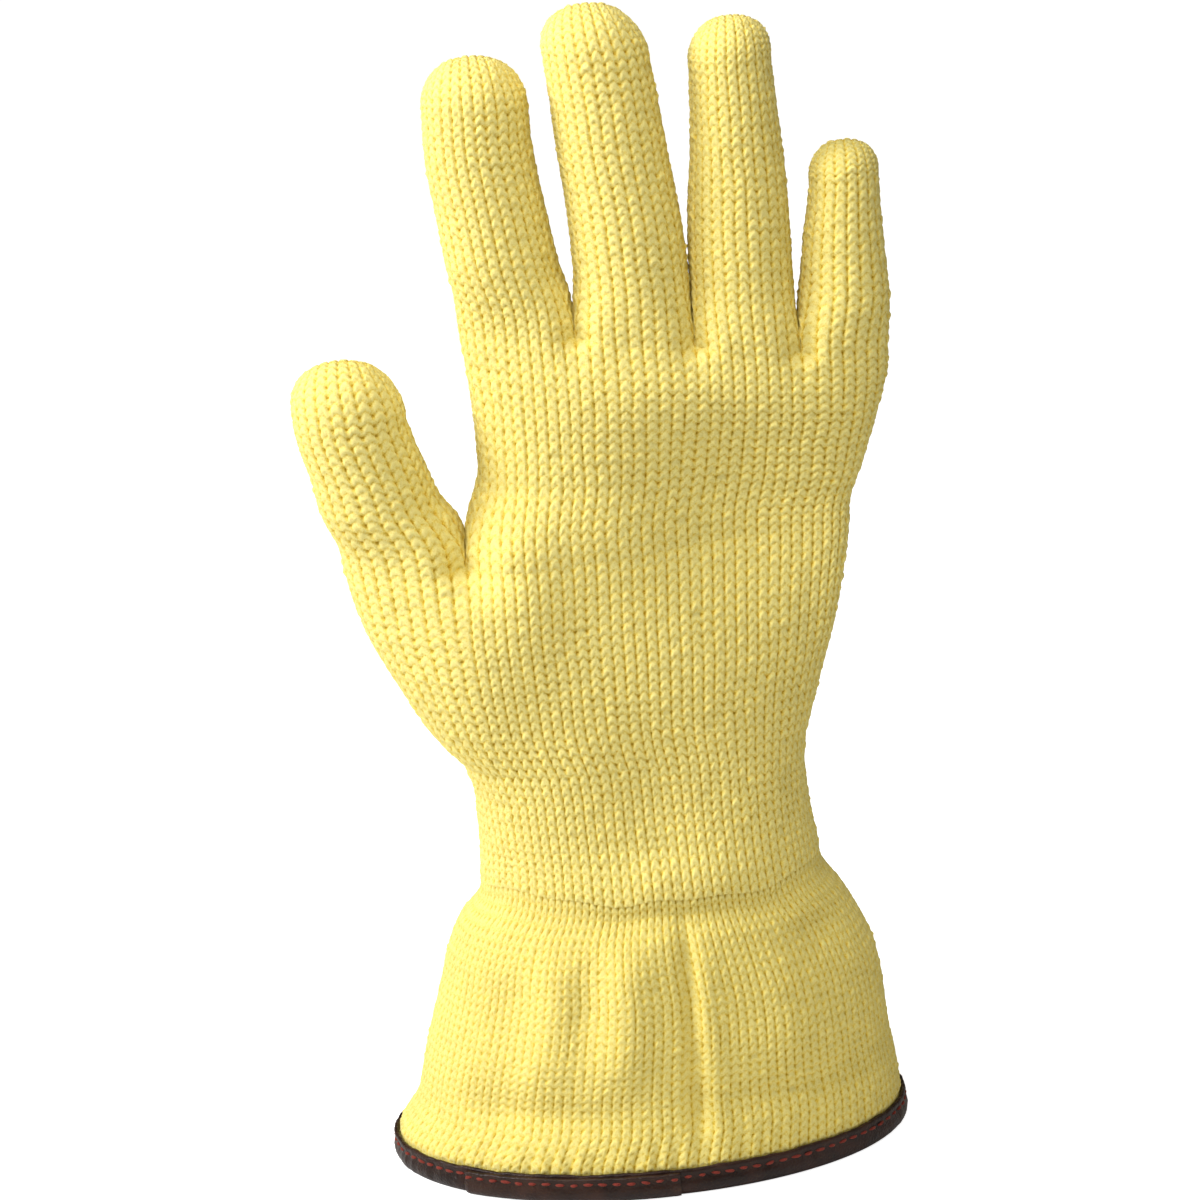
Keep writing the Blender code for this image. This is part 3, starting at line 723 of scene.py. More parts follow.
# %% Yarn material
def yarn_material(name, top, middle, deep, fineness=2200.0):
    """Matt yarn: its colour at the top of a loop, half way down and in the slots, the darker slot
    colours being painted shade.
    """
    material = bpy.data.materials.new(name)
    material.use_nodes = True
    tree = material.node_tree
    shader = tree.nodes["Principled BSDF"]
    shader.inputs["Roughness"].default_value = 0.88
    shader.inputs["Specular IOR Level"].default_value = 0.18
    shader.inputs["Sheen Weight"].default_value = 0.12
    shader.inputs["Sheen Roughness"].default_value = 0.5
    shader.inputs["Sheen Tint"].default_value = (1.0, 0.93, 0.6, 1.0)
    depth = add(tree, "ShaderNodeAttribute", attribute_name="depth")
    yarn = add(tree, "ShaderNodeAttribute", attribute_name="yarn")
    fibre = add(tree, "ShaderNodeGroup", node_tree=SPUN_FIBRE)
    fibre.inputs["Fineness"].default_value = fineness
    # Painted shade: the deeper a point lies in its stitch, the darker and deeper gold its colour.
    ramp = add(tree, "ShaderNodeValToRGB")
    ramp.color_ramp.elements[0].position = 0.22
    ramp.color_ramp.elements[0].color = (*deep, 1)
    ramp.color_ramp.elements[1].position = 0.98
    ramp.color_ramp.elements[1].color = (*top, 1)
    centre = ramp.color_ramp.elements.new(0.62)
    centre.color = (*middle, 1)
    speckle = add(tree, "ShaderNodeMath", operation="MULTIPLY_ADD")
    speckle.inputs[1].default_value = 1.15
    speckle.inputs[2].default_value = -0.55
    tree.links.new(fibre.outputs["Height"], speckle.inputs[0])
    mottled = add(tree, "ShaderNodeMath", operation="ADD")
    tree.links.new(depth.outputs["Fac"], mottled.inputs[0])
    tree.links.new(speckle.outputs[0], mottled.inputs[1])
    tree.links.new(mottled.outputs[0], ramp.inputs["Fac"])
    shade = add(tree, "ShaderNodeMath", operation="MULTIPLY_ADD")
    shade.inputs[1].default_value = 0.40
    shade.inputs[2].default_value = 0.80
    tree.links.new(fibre.outputs["Shade"], shade.inputs[0])
    lot = add(tree, "ShaderNodeMath", operation="MULTIPLY_ADD")
    lot.inputs[1].default_value = 0.035
    tree.links.new(yarn.outputs["Fac"], lot.inputs[0])
    tree.links.new(shade.outputs[0], lot.inputs[2])
    scale = add(tree, "ShaderNodeVectorMath", operation="SCALE")
    tree.links.new(ramp.outputs["Color"], scale.inputs[0])
    tree.links.new(lot.outputs[0], scale.inputs["Scale"])
    tree.links.new(scale.outputs[0], shader.inputs["Base Color"])
    bump = add(tree, "ShaderNodeBump")
    bump.inputs["Strength"].default_value = 0.55
    bump.inputs["Distance"].default_value = 0.0006
    tree.links.new(fibre.outputs["Height"], bump.inputs["Height"])
    tree.links.new(bump.outputs["Normal"], shader.inputs["Normal"])
    return material


# %% [markdown]
# ## The two knitting yarns
# Hand and cuff are knitted from the same fibre.  The cuff's yarn is thinner, so its
# fibre pattern is finer.

# %% Yarn colours
# The third colour of each yarn is the painted shade in the slots and holes.
HAND_YARN = yarn_material(
    "hand_yarn", (0.96, 0.84, 0.30), (0.91, 0.70, 0.12), (0.66, 0.38, 0.016))
CUFF_YARN = yarn_material(
    "cuff_yarn", (0.95, 0.82, 0.28), (0.90, 0.69, 0.11), (0.66, 0.38, 0.015), 2600.0)


def finish_piece(thing, material, body, nodes):
    """Material, slot, the body a piece rides on, and the solids it stands for."""
    thing.data.materials.append(material)
    if body:
        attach(thing, body)
    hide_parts(*nodes)


# %% [markdown]
# ## Cutting the grids into pieces
# A piece may bend between two bodies only.  The hand's tube is one piece from the
# cuff to the heel of the palm, then two pieces that ride on the hand.  Each digit is
# cut half way along its stiff parts, where both neighbours move together, so the cut
# never opens.

# %% Wrist and palm pieces
trunk_normals = facing_out(trunk)
trunk_points, trunk_depth, trunk_tint = knit(trunk, 11, normals=trunk_normals)
wrist_high = box_mm("wrist_section")[1][2]
HEEL_CUT = 5.0            # the cut lies this far above the wrist section, mm
cut = int(np.argmin(np.abs(heights - wrist_high - HEEL_CUT)) // ALONG * ALONG)


def piece_rows(points, depth, tint, start, stop):
    """A run of rows of a knitted grid, with its two masks."""
    return points[start:stop + 1], depth[start:stop + 1], tint[start:stop + 1]


wrist_piece = grid_mesh(
    "wrist_knit", *piece_rows(trunk_points, trunk_depth, trunk_tint, 0, cut),
    inner=inside_of(trunk[:cut + 1], KNIT_WALL))
finish_piece(wrist_piece, HAND_YARN, None, ["wrist_section"])
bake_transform(wrist_piece)
heel_piece = grid_mesh(
    "heel_of_hand_knit",
    *piece_rows(trunk_points, trunk_depth, trunk_tint, cut, len(heights) - 1),
    inner=inside_of(trunk[cut:], KNIT_WALL))
finish_piece(heel_piece, HAND_YARN, "hand", ["lower_palm"])


def matched_normals(points, base_ring, parent_ring, parent_normals):
    """Normals of a branch that agree with its parent's along the shared ring."""
    normals = facing_out(points)
    gap = np.linalg.norm(base_ring[:, None] - parent_ring[None], axis=-1)
    nearest = gap.argmin(1)
    shared = gap[np.arange(len(base_ring)), nearest] < 0.001
    normals[0, shared] = parent_normals[nearest[shared]]
    return normals


upper_normals = matched_normals(upper, upper_base, trunk[-1], trunk_normals[-1])
upper_points, upper_depth, upper_tint = knit(upper, 23, normals=upper_normals)
upper_piece = grid_mesh("palm_knit", upper_points, upper_depth, upper_tint,
                        inner=inside_of(upper, KNIT_WALL))
finish_piece(upper_piece, HAND_YARN, "hand", ["upper_palm"])
print("palm pieces:", len(heel_piece.data.polygons), len(upper_piece.data.polygons), "faces")


# %% [markdown]
# ## Cutting the digits
# A finger is cut into a root, a middle and an end, and the thumb into a root and an end.


def bend_between(thing):
    """Bake a piece's placement into its mesh."""
    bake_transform(thing)


def cut_row(points, node):
    """The row of a grid that lies nearest the middle height of a stiff tube."""
    low, high = box_mm(node)
    middle = (low[2] + high[2]) / 2
    return int(np.argmin(np.abs(points[..., 2].mean(1) - middle)))


def make_digit(name, points, parent, seed, stiff, hinges, rings):
    """Raise a digit's stitches and cut it at its stiff parts.
    parent is the last ring of the tube it grows from, and that ring's normals."""
    normals = matched_normals(points, points[0], *parent)
    top = normals[-1].copy()
    top[:, 1] = 0
    top[:, 2] = np.maximum(top[:, 2], 0.4)
    normals[-1] = top / np.linalg.norm(top, axis=1, keepdims=True)
    raised, depth, tint = knit(points, seed, normals=normals)
    cols = raised.shape[1]
    mirror = (cols - np.arange(cols)) % cols
    raised[-1] = (raised[-1] + raised[-1][mirror]) / 2
    # Painted shade: the closing line across the top of the tip takes the darker colour of a slot.
    depth[-1] = np.minimum(depth[-1], 0.35)
    cuts = [0] + [cut_row(points, node) for node in stiff] + [len(points) - 1]
    for n, (start, stop) in enumerate(zip(cuts, cuts[1:])):
        label = ("root", "middle", "end")[n] if len(hinges) == 3 else ("root", "end")[n]
        last = n == len(hinges) - 1
        rows = piece_rows(raised, depth, tint, start, stop)
        thing = grid_mesh(f"{name}_{label}_knit", *rows, weld_top=last)
        finish_piece(thing, HAND_YARN, None, rings[n])
        ring_low, ring_high = box_mm(rings[n][0])
        low = ring_low[2] + 0.5
        high = ring_high[2] + 1.0
        if n:
            low = max(low, raised[start][:, 2].max() + 0.05)
        if not last:
            high = min(high, raised[stop][:, 2].min() - 0.05)
        bend_between(thing)
    print(name, "cut at rows", cuts)


for k, name in enumerate(finger_names):
    stiff = [f"{name}_lower_tube", f"{name}_middle_tube"]
    hinges = [f"{name}_{part}_bend" for part in ("knuckle", "middle", "tip")]
    rings = [[f"{name}_knuckle_ring", f"{name}_lower_tube"],
             [f"{name}_middle_joint_ring", f"{name}_middle_tube"],
             [f"{name}_tip_joint_ring", f"{name}_tip"]]
    make_digit(name, grids[name], (upper[-1], upper_normals[-1]), 41 + k,
               stiff, hinges, rings)
make_digit("thumb", grids["thumb"], (trunk[-1], trunk_normals[-1]), 61, ["thumb_lower_tube"],
           ["thumb_base_bend", "thumb_tip_bend"],
           [["thumb_base_ring", "thumb_lower_tube"], ["thumb_tip_ring", "thumb_tip"]])

# %% [markdown]
# ## The gauntlet cuff
# The cuff is knitted on a finer machine, then linked on, so it has more and smaller
# stitches than the hand.  It stands by itself, and falls in soft upright folds.  The
# folds are long bumps that fade towards the wrist and the bound rim.

# %% Cuff
CUFF_WALES = 128
CUFF_ACROSS = 6
CUFF_ALONG = 5
CUFF_COURSE = 2.3         # height of one stitch on the cuff, mm
TAPE_TOP = box_mm("binding_tape")[1][2]
CUFF_START_Z = TAPE_TOP - 2.5
CUFF_END_Z = HAND_START_Z + 0.6
cuff_rows = measured_rows(["gauntlet_cuff"], clear=0.4, count=22)
cuff_courses = int(round((CUFF_END_Z - CUFF_START_Z) / CUFF_COURSE))
cuff_v = np.arange(cuff_courses * CUFF_ALONG + 1) / CUFF_ALONG
cuff_heights = CUFF_START_Z + (CUFF_END_Z - CUFF_START_Z) * cuff_v / cuff_courses
cols = CUFF_WALES * CUFF_ACROSS
cuff_share = np.broadcast_to(np.arange(cols) / cols, (len(cuff_v), cols))
cuff_values = row_at(cuff_rows, cuff_heights)
join_blend = ease((cuff_heights - CUFF_END_Z + 12) / 12)[:, None]
cuff_values = cuff_values * (1 - join_blend) + JOIN_VALUES * join_blend
cuff = with_heights(around(cuff_values, cuff_share, JOIN_POWER), cuff_heights)
courses_left = (cuff_courses - cuff_v)[:, None]
near_join = ease(1 - courses_left / JOIN_COURSES)
cuff[..., 2] += join_wave(cuff[..., 0], cuff[..., 1]) * near_join
print("cuff:", cuff_courses, "courses,", CUFF_WALES, "wales")

# %% [markdown]
# ## Folds of the cuff
# The seam makes the sharpest crease, with a soft roll beside it.  The other folds are
# where the stiff knit buckles between the narrow wrist and the wide rim.  Dimples are
# short folds that lie level.

# %% Cuff folds
# Each fold: x at its foot and head, heights of foot and head, half width, how far out.
seam_low, seam_high = box_mm("cuff_closing_seam")
DART_X = (seam_low[0] + seam_high[0]) / 2
print("closing seam at x", round(DART_X, 1), "mm")
FRONT_FOLDS = [
    (DART_X + 0.0, DART_X + 0.5, 14, 70, 2.5, -2.2),
    (DART_X + 5.5, DART_X + 4.5, 12, 60, 3.4, 0.9),
    (DART_X - 19, DART_X - 14, 30, 66, 7.5, 3.0),
    (DART_X - 27, DART_X - 25, 40, 64, 5.0, -1.3),
    (DART_X - 39, DART_X - 35, 30, 62, 6.5, 1.8),
    (DART_X - 55, DART_X - 44, 14, 58, 7.0, -1.4),
    (DART_X + 30, DART_X + 24, 20, 60, 8.0, 1.6),
]
# Each dimple: middle x and z, reach across and up, how far out.
FRONT_DIMPLES = [
    (DART_X + 36, 61, 7.0, 4.5, -3.4),
    (DART_X + 47, 52, 9.0, 5.0, 2.0),
    (DART_X + 34, 23, 24, 4.5, -2.4),
    (DART_X + 36, 38, 18, 7.0, 1.8),
    (DART_X - 40, 21, 24, 4.5, -1.8),
    (DART_X - 48, 34, 14, 8.0, 1.4),
    (DART_X - 2, 72, 24, 5.0, -1.2),
    (DART_X + 1, 24, 9, 12, -1.2),
]


def fold_cuff(points):
    """Push the folds in and out, more gently and mirrored on the back."""
    x, y, z = points[..., 0], points[..., 1], points[..., 2]
    push = np.zeros_like(x)
    for foot_x, head_x, foot_z, head_z, reach, height in FRONT_FOLDS:
        t = (z - foot_z) / (head_z - foot_z)
        middle = foot_x + (head_x - foot_x) * t
        fade = ease((z - foot_z + 6) / 14) * ease((head_z + 5 - z) / 14)
        push += height * fade * np.exp(-(((x - middle) / reach) ** 2))
    for mid_x, mid_z, reach_x, reach_z, height in FRONT_DIMPLES:
        push += height * np.exp(-(((x - mid_x) / reach_x) ** 2) - ((z - mid_z) / reach_z) ** 2)
    near_rim = np.exp(-(((z - CUFF_START_Z - 3) / 5) ** 2))
    gather = 0.55 * np.sin(x * 0.9 + 2.1 * np.sin(x * 0.23)) * near_rim
    push = (push + gather) * ease((z - CUFF_START_Z) / 6)
    tuck = 0.3 * ease(1 - courses_left / 0.8)
    push = push * ease(courses_left / 2.4) - tuck
    front = ease(-y / 8.0)
    back = ease(y / 8.0)
    points[..., 1] = y - push * front + 0.6 * push[:, ::-1] * back
    return points


cuff = fold_cuff(cuff)

# %% [markdown]
# ## Knitting the cuff
# The cuff is raised stitch by stitch like the hand, with flatter and finer loops.  It
# rides on one body, and is made in two bands only to keep each mesh a moderate size.

# %% Cuff knit
cuff_points, cuff_depth, cuff_tint = knit(
    cuff, 83, height=0.85, slope=0.70, across=CUFF_ACROSS, along=CUFF_ALONG)
half_row = (cuff_courses // 2) * CUFF_ALONG
for label, start, stop in (("lower", 0, half_row), ("upper", half_row, len(cuff) - 1)):
    thing = grid_mesh(
        f"cuff_{label}_knit", *piece_rows(cuff_points, cuff_depth, cuff_tint, start, stop),
        inner=inside_of(cuff[start:stop + 1], CUFF_WALL, CUFF_ACROSS, CUFF_ALONG))
    finish_piece(thing, CUFF_YARN, "cuff", ["gauntlet_cuff"])


# %% [markdown]
# ## Seams inside the cuff
# The cuff is closed by a seam up its palm side, and linked to the wrist by another
# that runs all the way round.  Both are finished on the inside with a yarn that
# overcasts the two raw edges, so they look like a thin twisted cord.

# %% Seams inside the cuff
def plain_yarn(mesh):
    """Give a mesh the two yarn attributes, with the same values at every point."""
    for label, value in (("depth", 0.7), ("yarn", 0.0)):
        layer = mesh.attributes.new(label, "FLOAT", "POINT")
        layer.data.foreach_set("value", np.full(len(mesh.vertices), value, np.float32))


def yarn_rope(name, line, closed, radius=0.62, spread=0.55, pitch=4.2, plies=2,
              sides=7):
    """Twisted plies of yarn along a line of points, in millimetres."""
    line = np.asarray(line, float)
    step = np.roll(line, -1, 0) - np.roll(line, 1, 0) if closed else np.gradient(line, axis=0)
    run = np.concatenate([[0], np.cumsum(np.linalg.norm(np.diff(line, axis=0), axis=1))])
    turns = max(round(run[-1] / pitch), 1)
    step /= np.linalg.norm(step, axis=1, keepdims=True)
    lift = np.cross(step, [0.0, 0.0, 1.0]) if closed else np.cross(step, [1.0, 0.0, 0.0])
    lift /= np.linalg.norm(lift, axis=1, keepdims=True)
    beside = np.cross(step, lift)
    spots, faces = [], []
    for ply in range(plies):
        angle = 2 * math.pi * (run / (run[-1] + (run[1] if closed else 0)) * turns + ply / plies)
        middle = line + spread * (np.cos(angle)[:, None] * lift + np.sin(angle)[:, None] * beside)
        start, count = len(spots), len(line)
        for n in range(count):
            for k in range(sides):
                a = 2 * math.pi * k / sides
                spots.append(middle[n] + radius * (math.cos(a) * lift[n] + math.sin(a) * beside[n]))
        for n in range(count if closed else count - 1):
            m = (n + 1) % count
            for k in range(sides):
                j = (k + 1) % sides
                faces.append((start + n * sides + k, start + n * sides + j,
                              start + m * sides + j, start + m * sides + k))
        if not closed:
            faces.append(tuple(start + k for k in range(sides - 1, -1, -1)))
            faces.append(tuple(start + (count - 1) * sides + k for k in range(sides)))
    mesh = bpy.data.meshes.new(name)
    mesh.from_pydata((np.array(spots) * MM).tolist(), [], faces)
    mesh.update()
    mesh.polygons.foreach_set("use_smooth", np.ones(len(mesh.polygons), bool))
    plain_yarn(mesh)
    thing = bpy.data.objects.new(name, mesh)
    bpy.context.scene.collection.objects.link(thing)
    return thing


cuff_out = facing_out(cuff)
front_half = cols // 2
dart_column = int(np.argmin(np.abs(cuff[half_row, :front_half, 0] - DART_X)))
dart_line = (cuff - cuff_out * 3.4)[4:-18:2, dart_column]
closing = yarn_rope("cuff_closing_overcast", dart_line, False)
finish_piece(closing, CUFF_YARN, "cuff", ["cuff_closing_seam"])
join_line = (cuff - cuff_out * 3.3)[-5, ::2]
linking = yarn_rope("wrist_linking_overcast", join_line, True)
finish_piece(linking, CUFF_YARN, "cuff", ["wrist_linking_seam"])

# %% [markdown]
# ## The leather binding
# A strip of dark leather is folded over the rim and sewn through.  Its fold is
# rounded, its top edge is cut, and it puckers a little where it is pulled round the
# curve.  A swept outline gives the fold, and slow ripples round the rim give the
# puckers.  The strip's end lies over its start, and is sewn down with it.

# %% Hem line
tape_values = section(["binding_tape"], TAPE_TOP * 0.4)
TAPE_HALF = 2.6           # from the middle of the hem to the face of the tape


def hem(turn, out, z):
    """Points at an angle round the rim, a distance out from the middle of the hem."""
    mid_x, mid_y, half_w, half_d = tape_values
    x = mid_x + (half_w - TAPE_HALF + out) * np.cos(turn)
    y = mid_y + (half_d - TAPE_HALF + out) * np.sin(turn)
    return np.stack(np.broadcast_arrays(x, y, z), -1)


def ripple(turn, seed, counts=(9, 17, 31, 53, 88)):
    """Slow and quick waves round the rim, the same on every run."""
    rng = np.random.default_rng(seed)
    total = np.zeros_like(turn)
    for count in counts:
        height = math.cos(rng.uniform(0, 6))
        total += height * np.sin(count * turn + rng.uniform(0, 6)) / count ** 0.35
    return total


def swept(name, turns, outline, closed_round):
    """A closed outline carried round the rim.  outline(turn) gives (out, z) pairs."""
    rings = np.array([[hem(turn, out, z) for out, z in outline(turn)] for turn in turns])
    count, size = rings.shape[:2]
    index = np.arange(count * size).reshape(count, size)
    beside = np.roll(index, -1, 1)
    ahead = np.roll(index, -1, 0) if closed_round else index[1:]
    ahead_beside = np.roll(ahead, -1, 1)
    here = index if closed_round else index[:-1]
    here_beside = beside if closed_round else beside[:-1]
    faces = np.stack([here, ahead, ahead_beside, here_beside], -1).reshape(-1, 4).tolist()
    if not closed_round:
        faces.append(index[0].tolist())
        faces.append(index[-1][::-1].tolist())
    mesh = bpy.data.meshes.new(name)
    mesh.from_pydata((rings.reshape(-1, 3) * MM).tolist(), [], faces)
    mesh.update()
    mesh.polygons.foreach_set("use_smooth", np.ones(len(mesh.polygons), bool))
    thing = bpy.data.objects.new(name, mesh)
    bpy.context.scene.collection.objects.link(thing)
    return thing


# %% [markdown]
# ## The folded tape
# The outline goes from the outer top edge down, under the hem and up inside, then back
# along the inner face.  It is pulled in a little at the sewing.  At one side of the rim
# the tape is gathered more loosely.

# %% Folded tape
lap_low, lap_high = box_mm("binding_lapped_end")


def front_angle(x):
    """The angle round the rim, on its front, at a given x."""
    return 2 * math.pi - math.acos((x - tape_values[0]) / tape_values[2])


LAP_START, LAP_END = front_angle(lap_low[0]), front_angle(lap_high[0])
print("lapped end from", round(math.degrees(LAP_START)), "to", round(math.degrees(LAP_END)),
      "degrees")
pucker_table = np.linspace(0, 2 * math.pi, 1441)
pucker_values = ripple(pucker_table, 5)
fine_values = ripple(pucker_table, 6, (61, 97, 140, 190))


def pucker(turn):
    """The slow ripple at one angle."""
    return float(np.interp(turn % (2 * math.pi), pucker_table, pucker_values))


def fine_pucker(turn):
    """The quick ripple at one angle."""
    return float(np.interp(turn % (2 * math.pi), pucker_table, fine_values))


def sunk_seam(turn):
    """How far the sewing pulls the leather in, in a row of small dents."""
    return 0.22 * math.exp(-((((turn * 30.0) % (2 * math.pi)) - math.pi) ** 2))


def tape_outline(turn):
    """The folded tape, from the outer top edge down, under the hem and up inside."""
    loose = 1.0 + 1.6 * math.exp(-((((turn % (2 * math.pi)) - 3.62) / 0.32) ** 2))
    p = 0.12 * pucker(turn) * loose
    q = 0.09 * fine_pucker(turn) * loose
    top = TAPE_TOP - 0.15 + 0.28 * pucker(turn + 0.7)
    dent = sunk_seam(turn)
    return [
        (2.25 + p, top), (2.62 + p, top - 0.2), (2.72 + p + q, top - 0.9),
        (2.30 + p - dent, top - 2.2), (2.84 + p + q, top - 3.4), (3.05 + p + q, 2.9),
        (2.88 + p, 1.6), (2.45 + p, 0.75), (1.8, 0.22), (0.9, 0.0), (-0.9, 0.0),
        (-1.8, 0.22), (-2.45 - p, 0.8), (-2.7 - p, 1.8), (-2.75 - p, 3.4),
        (-2.5 - p, top - 2.2), (-2.6 - p, top - 0.8), (-2.3 - p, top),
        (-1.6, top - 0.1), (-1.5, 3.0), (-1.3, 1.2), (1.3, 1.2), (1.5, 3.0), (1.6, top - 0.1),
    ]


tape = swept("binding_tape_leather", np.linspace(0, 2 * math.pi, 720, endpoint=False),
             tape_outline, True)


# %% [markdown]
# ## The lapped end
# The strip's end goes over its start on the palm side.  It is a second layer, pressed a
# little thinner at its two ends, and it stops short of the fold beneath.

# %% Lapped end
def lap_outline(turn):
    """The end of the tape, lying on the outside of its start."""
    along = (turn - LAP_START) / (LAP_END - LAP_START)
    end = ease(min(along, 1 - along) / 0.02) * 0.25
    p = 0.10 * pucker(turn)
    q = 0.06 * fine_pucker(turn + 1.0)
    top = lap_high[2] + 0.12 * pucker(turn + 0.4)
    dent = sunk_seam(turn)
    lift = 1.0 + end
    return [
        (1.9 + p, top), (2.62 + lift + p, top), (2.80 + lift + p + q, top - 0.45),
        (2.38 + lift + p - dent, top - 1.6), (2.92 + lift + p + q, top - 2.9),
        (3.02 + lift + p + q, 2.5), (2.80 + lift + p, 1.4), (2.3 + lift + p, 0.5),
        (1.9, 0.3), (1.8, 2.0),
    ]


lap = swept("binding_lapped_end_leather", np.linspace(LAP_START, LAP_END, 150),
            lap_outline, False)


# %% [markdown]
# ## Sewing thread
# One row of lockstitch holds the fold shut, with a needle thread outside and a bobbin
# thread inside.  Each stitch is a short rounded rod that sinks at both ends, and no two
# are quite the same length or slope.

# %% Sewing thread
STITCH_PITCH = 3.7        # one stitch and its gap, mm
THREAD_RADIUS = 0.46


def stitches(name, out_at, z, side):
    """A row of short rounded stitches, each sunk a little at its two ends."""
    half_w, half_d = tape_values[2], tape_values[3]
    turns = np.linspace(0, 2 * math.pi, 4001)
    run = np.concatenate([[0], np.cumsum(np.hypot(
        np.diff(half_w * np.cos(turns)), np.diff(half_d * np.sin(turns))))])
    count = int(run[-1] / STITCH_PITCH)
    spots, faces = [], []
    rng = np.random.default_rng(3)
    for n in range(count):
        middle = (n + 0.5) / count * run[-1]
        length = 1.25 * (1 + 0.12 * rng.normal())
        tilt = 0.12 * rng.normal()
        drop = 0.10 * rng.normal()
        start = len(spots)
        for k in range(7):
            t = -1 + 2 * k / 6
            turn = float(np.interp(middle + t * length, run, turns))
            radius = THREAD_RADIUS * math.sqrt(max(1 - t * t, 0.02))
            sink = 0.25 * t * t
            out = out_at(turn) - side * sink
            for j in range(8):
                a = 2 * math.pi * j / 8
                spots.append(hem(turn, out + radius * math.cos(a) * side,
                                 z + drop + tilt * t + radius * math.sin(a)))
        for k in range(6):
            for j in range(8):
                m = (j + 1) % 8
                a, b = start + k * 8, start + (k + 1) * 8
                faces.append((a + j, b + j, b + m, a + m))
        faces.append(tuple(start + j for j in range(8)))
        faces.append(tuple(start + 48 + j for j in range(7, -1, -1)))
    mesh = bpy.data.meshes.new(name)
    mesh.from_pydata((np.array(spots) * MM).tolist(), [], faces)
    mesh.update()
    mesh.polygons.foreach_set("use_smooth", np.ones(len(mesh.polygons), bool))
    plain_yarn(mesh)
    thing = bpy.data.objects.new(name, mesh)
    bpy.context.scene.collection.objects.link(thing)
    return thing


def outer_face(turn):
    """The middle of the needle thread, out from the hem: further over the lapped end."""
    turn = turn % (2 * math.pi)
    lifted = ease((turn - LAP_START + 0.01) / 0.02) * ease((LAP_END + 0.01 - turn) / 0.02)
    return 2.45 + 0.11 * pucker(turn) + 1.36 * float(lifted)


STITCH_Z = TAPE_TOP - 2.3
needle_row = stitches("binding_needle_stitches", outer_face, STITCH_Z, 1)
bobbin_row = stitches("binding_bobbin_stitches", lambda turn: -2.65, STITCH_Z, -1)


# %% [markdown]
# ## Leather and thread finishes
# The tape is dark brown grained leather with a dull shine: small raised cells with
# fine creases between, a little lighter and smoother where it is rubbed.

# %% Leather grain
def leather_group():
    """Raised cells and soft patches, shared by both layers of leather."""
    group = bpy.data.node_groups.new("leather_grain", "ShaderNodeTree")
    socket(group, "Scale", "NodeSocketFloat", default=900.0)
    socket(group, "Height", "NodeSocketFloat", inward=False)
    socket(group, "Patch", "NodeSocketFloat", inward=False)
    into, out = add(group, "NodeGroupInput"), add(group, "NodeGroupOutput")
    place = add(group, "ShaderNodeTexCoord")
    cells = add(group, "ShaderNodeTexVoronoi", feature="DISTANCE_TO_EDGE")
    group.links.new(place.outputs["Object"], cells.inputs["Vector"])
    group.links.new(into.outputs["Scale"], cells.inputs["Scale"])
    level = add(group, "ShaderNodeMapRange")
    level.inputs["From Max"].default_value = 0.25
    group.links.new(cells.outputs["Distance"], level.inputs["Value"])
    patch = add(group, "ShaderNodeTexNoise")
    patch.inputs["Scale"].default_value = 160.0
    patch.inputs["Detail"].default_value = 4.0
    group.links.new(place.outputs["Object"], patch.inputs["Vector"])
    group.links.new(level.outputs["Result"], out.inputs["Height"])
    group.links.new(patch.outputs["Fac"], out.inputs["Patch"])
    return group


LEATHER_GRAIN = leather_group()


# %% [markdown]
# ## Leather and thread colours
# The two layers of leather share one grain and differ a little in colour and polish.
# The thread is a dark red, made with the same yarn finish as the knit.

# %% Leather and thread materials
def leather_material(name, dark, light, roughness):
    """Grained leather between two colours, glossier in some patches than others."""
    material = bpy.data.materials.new(name)
    material.use_nodes = True
    tree = material.node_tree
    shader = tree.nodes["Principled BSDF"]
    shader.inputs["Specular IOR Level"].default_value = 0.30
    grain = add(tree, "ShaderNodeGroup", node_tree=LEATHER_GRAIN)
    ramp = add(tree, "ShaderNodeValToRGB")
    ramp.color_ramp.elements[0].position = 0.35
    ramp.color_ramp.elements[0].color = (*dark, 1)
    ramp.color_ramp.elements[1].position = 0.68
    ramp.color_ramp.elements[1].color = (*light, 1)
    tree.links.new(grain.outputs["Patch"], ramp.inputs["Fac"])
    tree.links.new(ramp.outputs["Color"], shader.inputs["Base Color"])
    rough = add(tree, "ShaderNodeMapRange")
    rough.inputs["To Min"].default_value = roughness - 0.1
    rough.inputs["To Max"].default_value = roughness + 0.12
    tree.links.new(grain.outputs["Patch"], rough.inputs["Value"])
    tree.links.new(rough.outputs["Result"], shader.inputs["Roughness"])
    bump = add(tree, "ShaderNodeBump")
    bump.inputs["Strength"].default_value = 0.35
    bump.inputs["Distance"].default_value = 0.0002
    tree.links.new(grain.outputs["Height"], bump.inputs["Height"])
    tree.links.new(bump.outputs["Normal"], shader.inputs["Normal"])
    return material


TAPE_LEATHER = leather_material(
    "tape_leather", (0.012, 0.0038, 0.0026), (0.034, 0.0115, 0.0068), 0.38)
LAP_LEATHER = leather_material(
    "lapped_leather", (0.015, 0.0052, 0.0034), (0.042, 0.0155, 0.0092), 0.36)
SEWING = yarn_material(
    "sewing_thread", (0.26, 0.040, 0.030), (0.22, 0.034, 0.025), (0.12, 0.02, 0.015))
finish_piece(tape, TAPE_LEATHER, "cuff", ["binding_tape"])
finish_piece(lap, LAP_LEATHER, "cuff", ["binding_lapped_end"])
finish_piece(needle_row, SEWING, "cuff", ["binding_needle_thread"])
finish_piece(bobbin_row, SEWING, "cuff", ["binding_bobbin_thread"])

# %% [markdown]
# ## Studio
# One large soft light from the upper left does most of the work, with a weaker one
# from the right and a pale room around.  The camera looks slightly down on the rim.

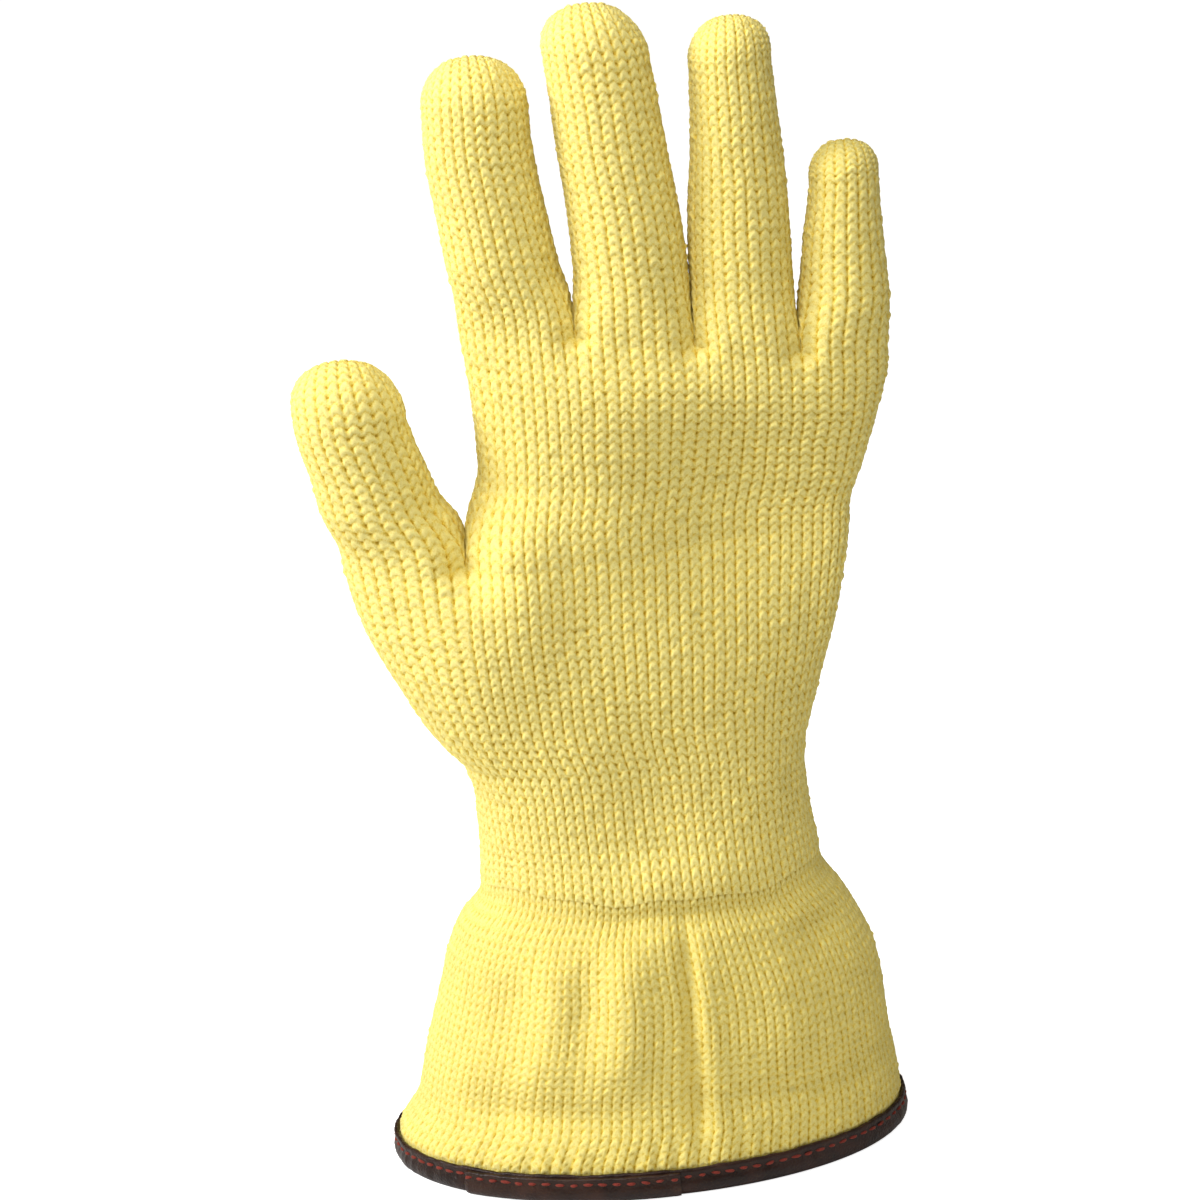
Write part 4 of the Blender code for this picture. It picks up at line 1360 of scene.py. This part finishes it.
# %% Floor and lights
def paper(name, shade, glow):
    """White paper that stays white where the view meets it, but lights no more for it."""
    material = bpy.data.materials.new(name)
    material.use_nodes = True
    tree = material.node_tree
    shader = tree.nodes["Principled BSDF"]
    shader.inputs["Base Color"].default_value = (shade, shade, shade, 1)
    shader.inputs["Roughness"].default_value = 0.9
    shader.inputs["Emission Color"].default_value = (1, 1, 1, 1)
    path = add(tree, "ShaderNodeLightPath")
    level = add(tree, "ShaderNodeMath", operation="MULTIPLY")
    level.inputs[1].default_value = glow
    tree.links.new(path.outputs["Is Camera Ray"], level.inputs[0])
    tree.links.new(level.outputs[0], shader.inputs["Emission Strength"])
    return material


FLOOR_SIZE = 12           # metres
bpy.ops.mesh.primitive_plane_add(size=FLOOR_SIZE, location=(0, 0, 0))
floor = bpy.context.object
floor.name = "studio_floor"
floor.data.materials.append(paper("studio_paper", 0.90, 0.90))


def soft_light(name, place, size, power, target=(0, 0, 0.15)):
    """A round soft light, in metres and watts, turned towards a target."""
    data = bpy.data.lights.new(name, "AREA")
    data.shape = "DISK"
    data.size = size
    data.energy = power
    thing = bpy.data.objects.new(name, data)
    bpy.context.scene.collection.objects.link(thing)
    thing.location = place
    away = Vector(place) - Vector(target)
    thing.rotation_euler = away.to_track_quat("Z", "Y").to_euler()
    return thing


soft_light("key_light", (-1.00, -0.24, 0.80), 0.55, 13.2)
soft_light("right_light", (1.2, -0.5, 0.4), 0.8, 1.6)
soft_light("top_light", (-0.12, -0.32, 0.80), 0.4, 3.0, (0, 0, 0.24))

# %% [markdown]
# ## The room
# The walls give a weak warm light from all round, which fills the shadows.  They look
# white where nothing stands in front of them.

# %% Room
world = bpy.data.worlds.new("studio_room")
world.use_nodes = True
room = world.node_tree
warm = room.nodes["Background"]
warm.inputs["Color"].default_value = (1.0, 0.88, 0.70, 1)
warm.inputs["Strength"].default_value = 0.165
white = add(room, "ShaderNodeBackground")
white.inputs["Color"].default_value = (1, 1, 1, 1)
seen = add(room, "ShaderNodeLightPath")
either = add(room, "ShaderNodeMixShader")
room.links.new(seen.outputs["Is Camera Ray"], either.inputs[0])
room.links.new(warm.outputs[0], either.inputs[1])
room.links.new(white.outputs[0], either.inputs[2])
room.links.new(either.outputs[0], room.nodes["World Output"].inputs["Surface"])
bpy.context.scene.world = world
bpy.context.scene.view_settings.view_transform = "Standard"

# %% [markdown]
# ## The camera
# It stands straight in front of the palm, a little above, and is turned slightly so
# that the glove leans.

# %% Camera
ELEVATION = math.radians(16.0)
ROLL = math.radians(5.0)
DISTANCE = 1.2            # metres
HALF_VIEW = 0.157         # half the width of the view at the glove, metres
target = Vector((cad_low + cad_high) / 2) + Vector((-0.0034, 0.0, -0.0033))
back = Vector((0, -math.cos(ELEVATION), math.sin(ELEVATION)))
side = Vector((1, 0, 0))
upward = back.cross(side)
turned_side = side * math.cos(ROLL) - upward * math.sin(ROLL)
turned_up = side * math.sin(ROLL) + upward * math.cos(ROLL)
camera_data = bpy.data.cameras.new("studio_camera")
camera_data.angle = 2 * math.atan(HALF_VIEW / DISTANCE)
camera = bpy.data.objects.new("studio_camera", camera_data)
bpy.context.scene.collection.objects.link(camera)
turn = Matrix((turned_side, turned_up, back)).transposed().to_4x4()
camera.matrix_world = Matrix.Translation(target + back * DISTANCE) @ turn
bpy.context.scene.camera = camera
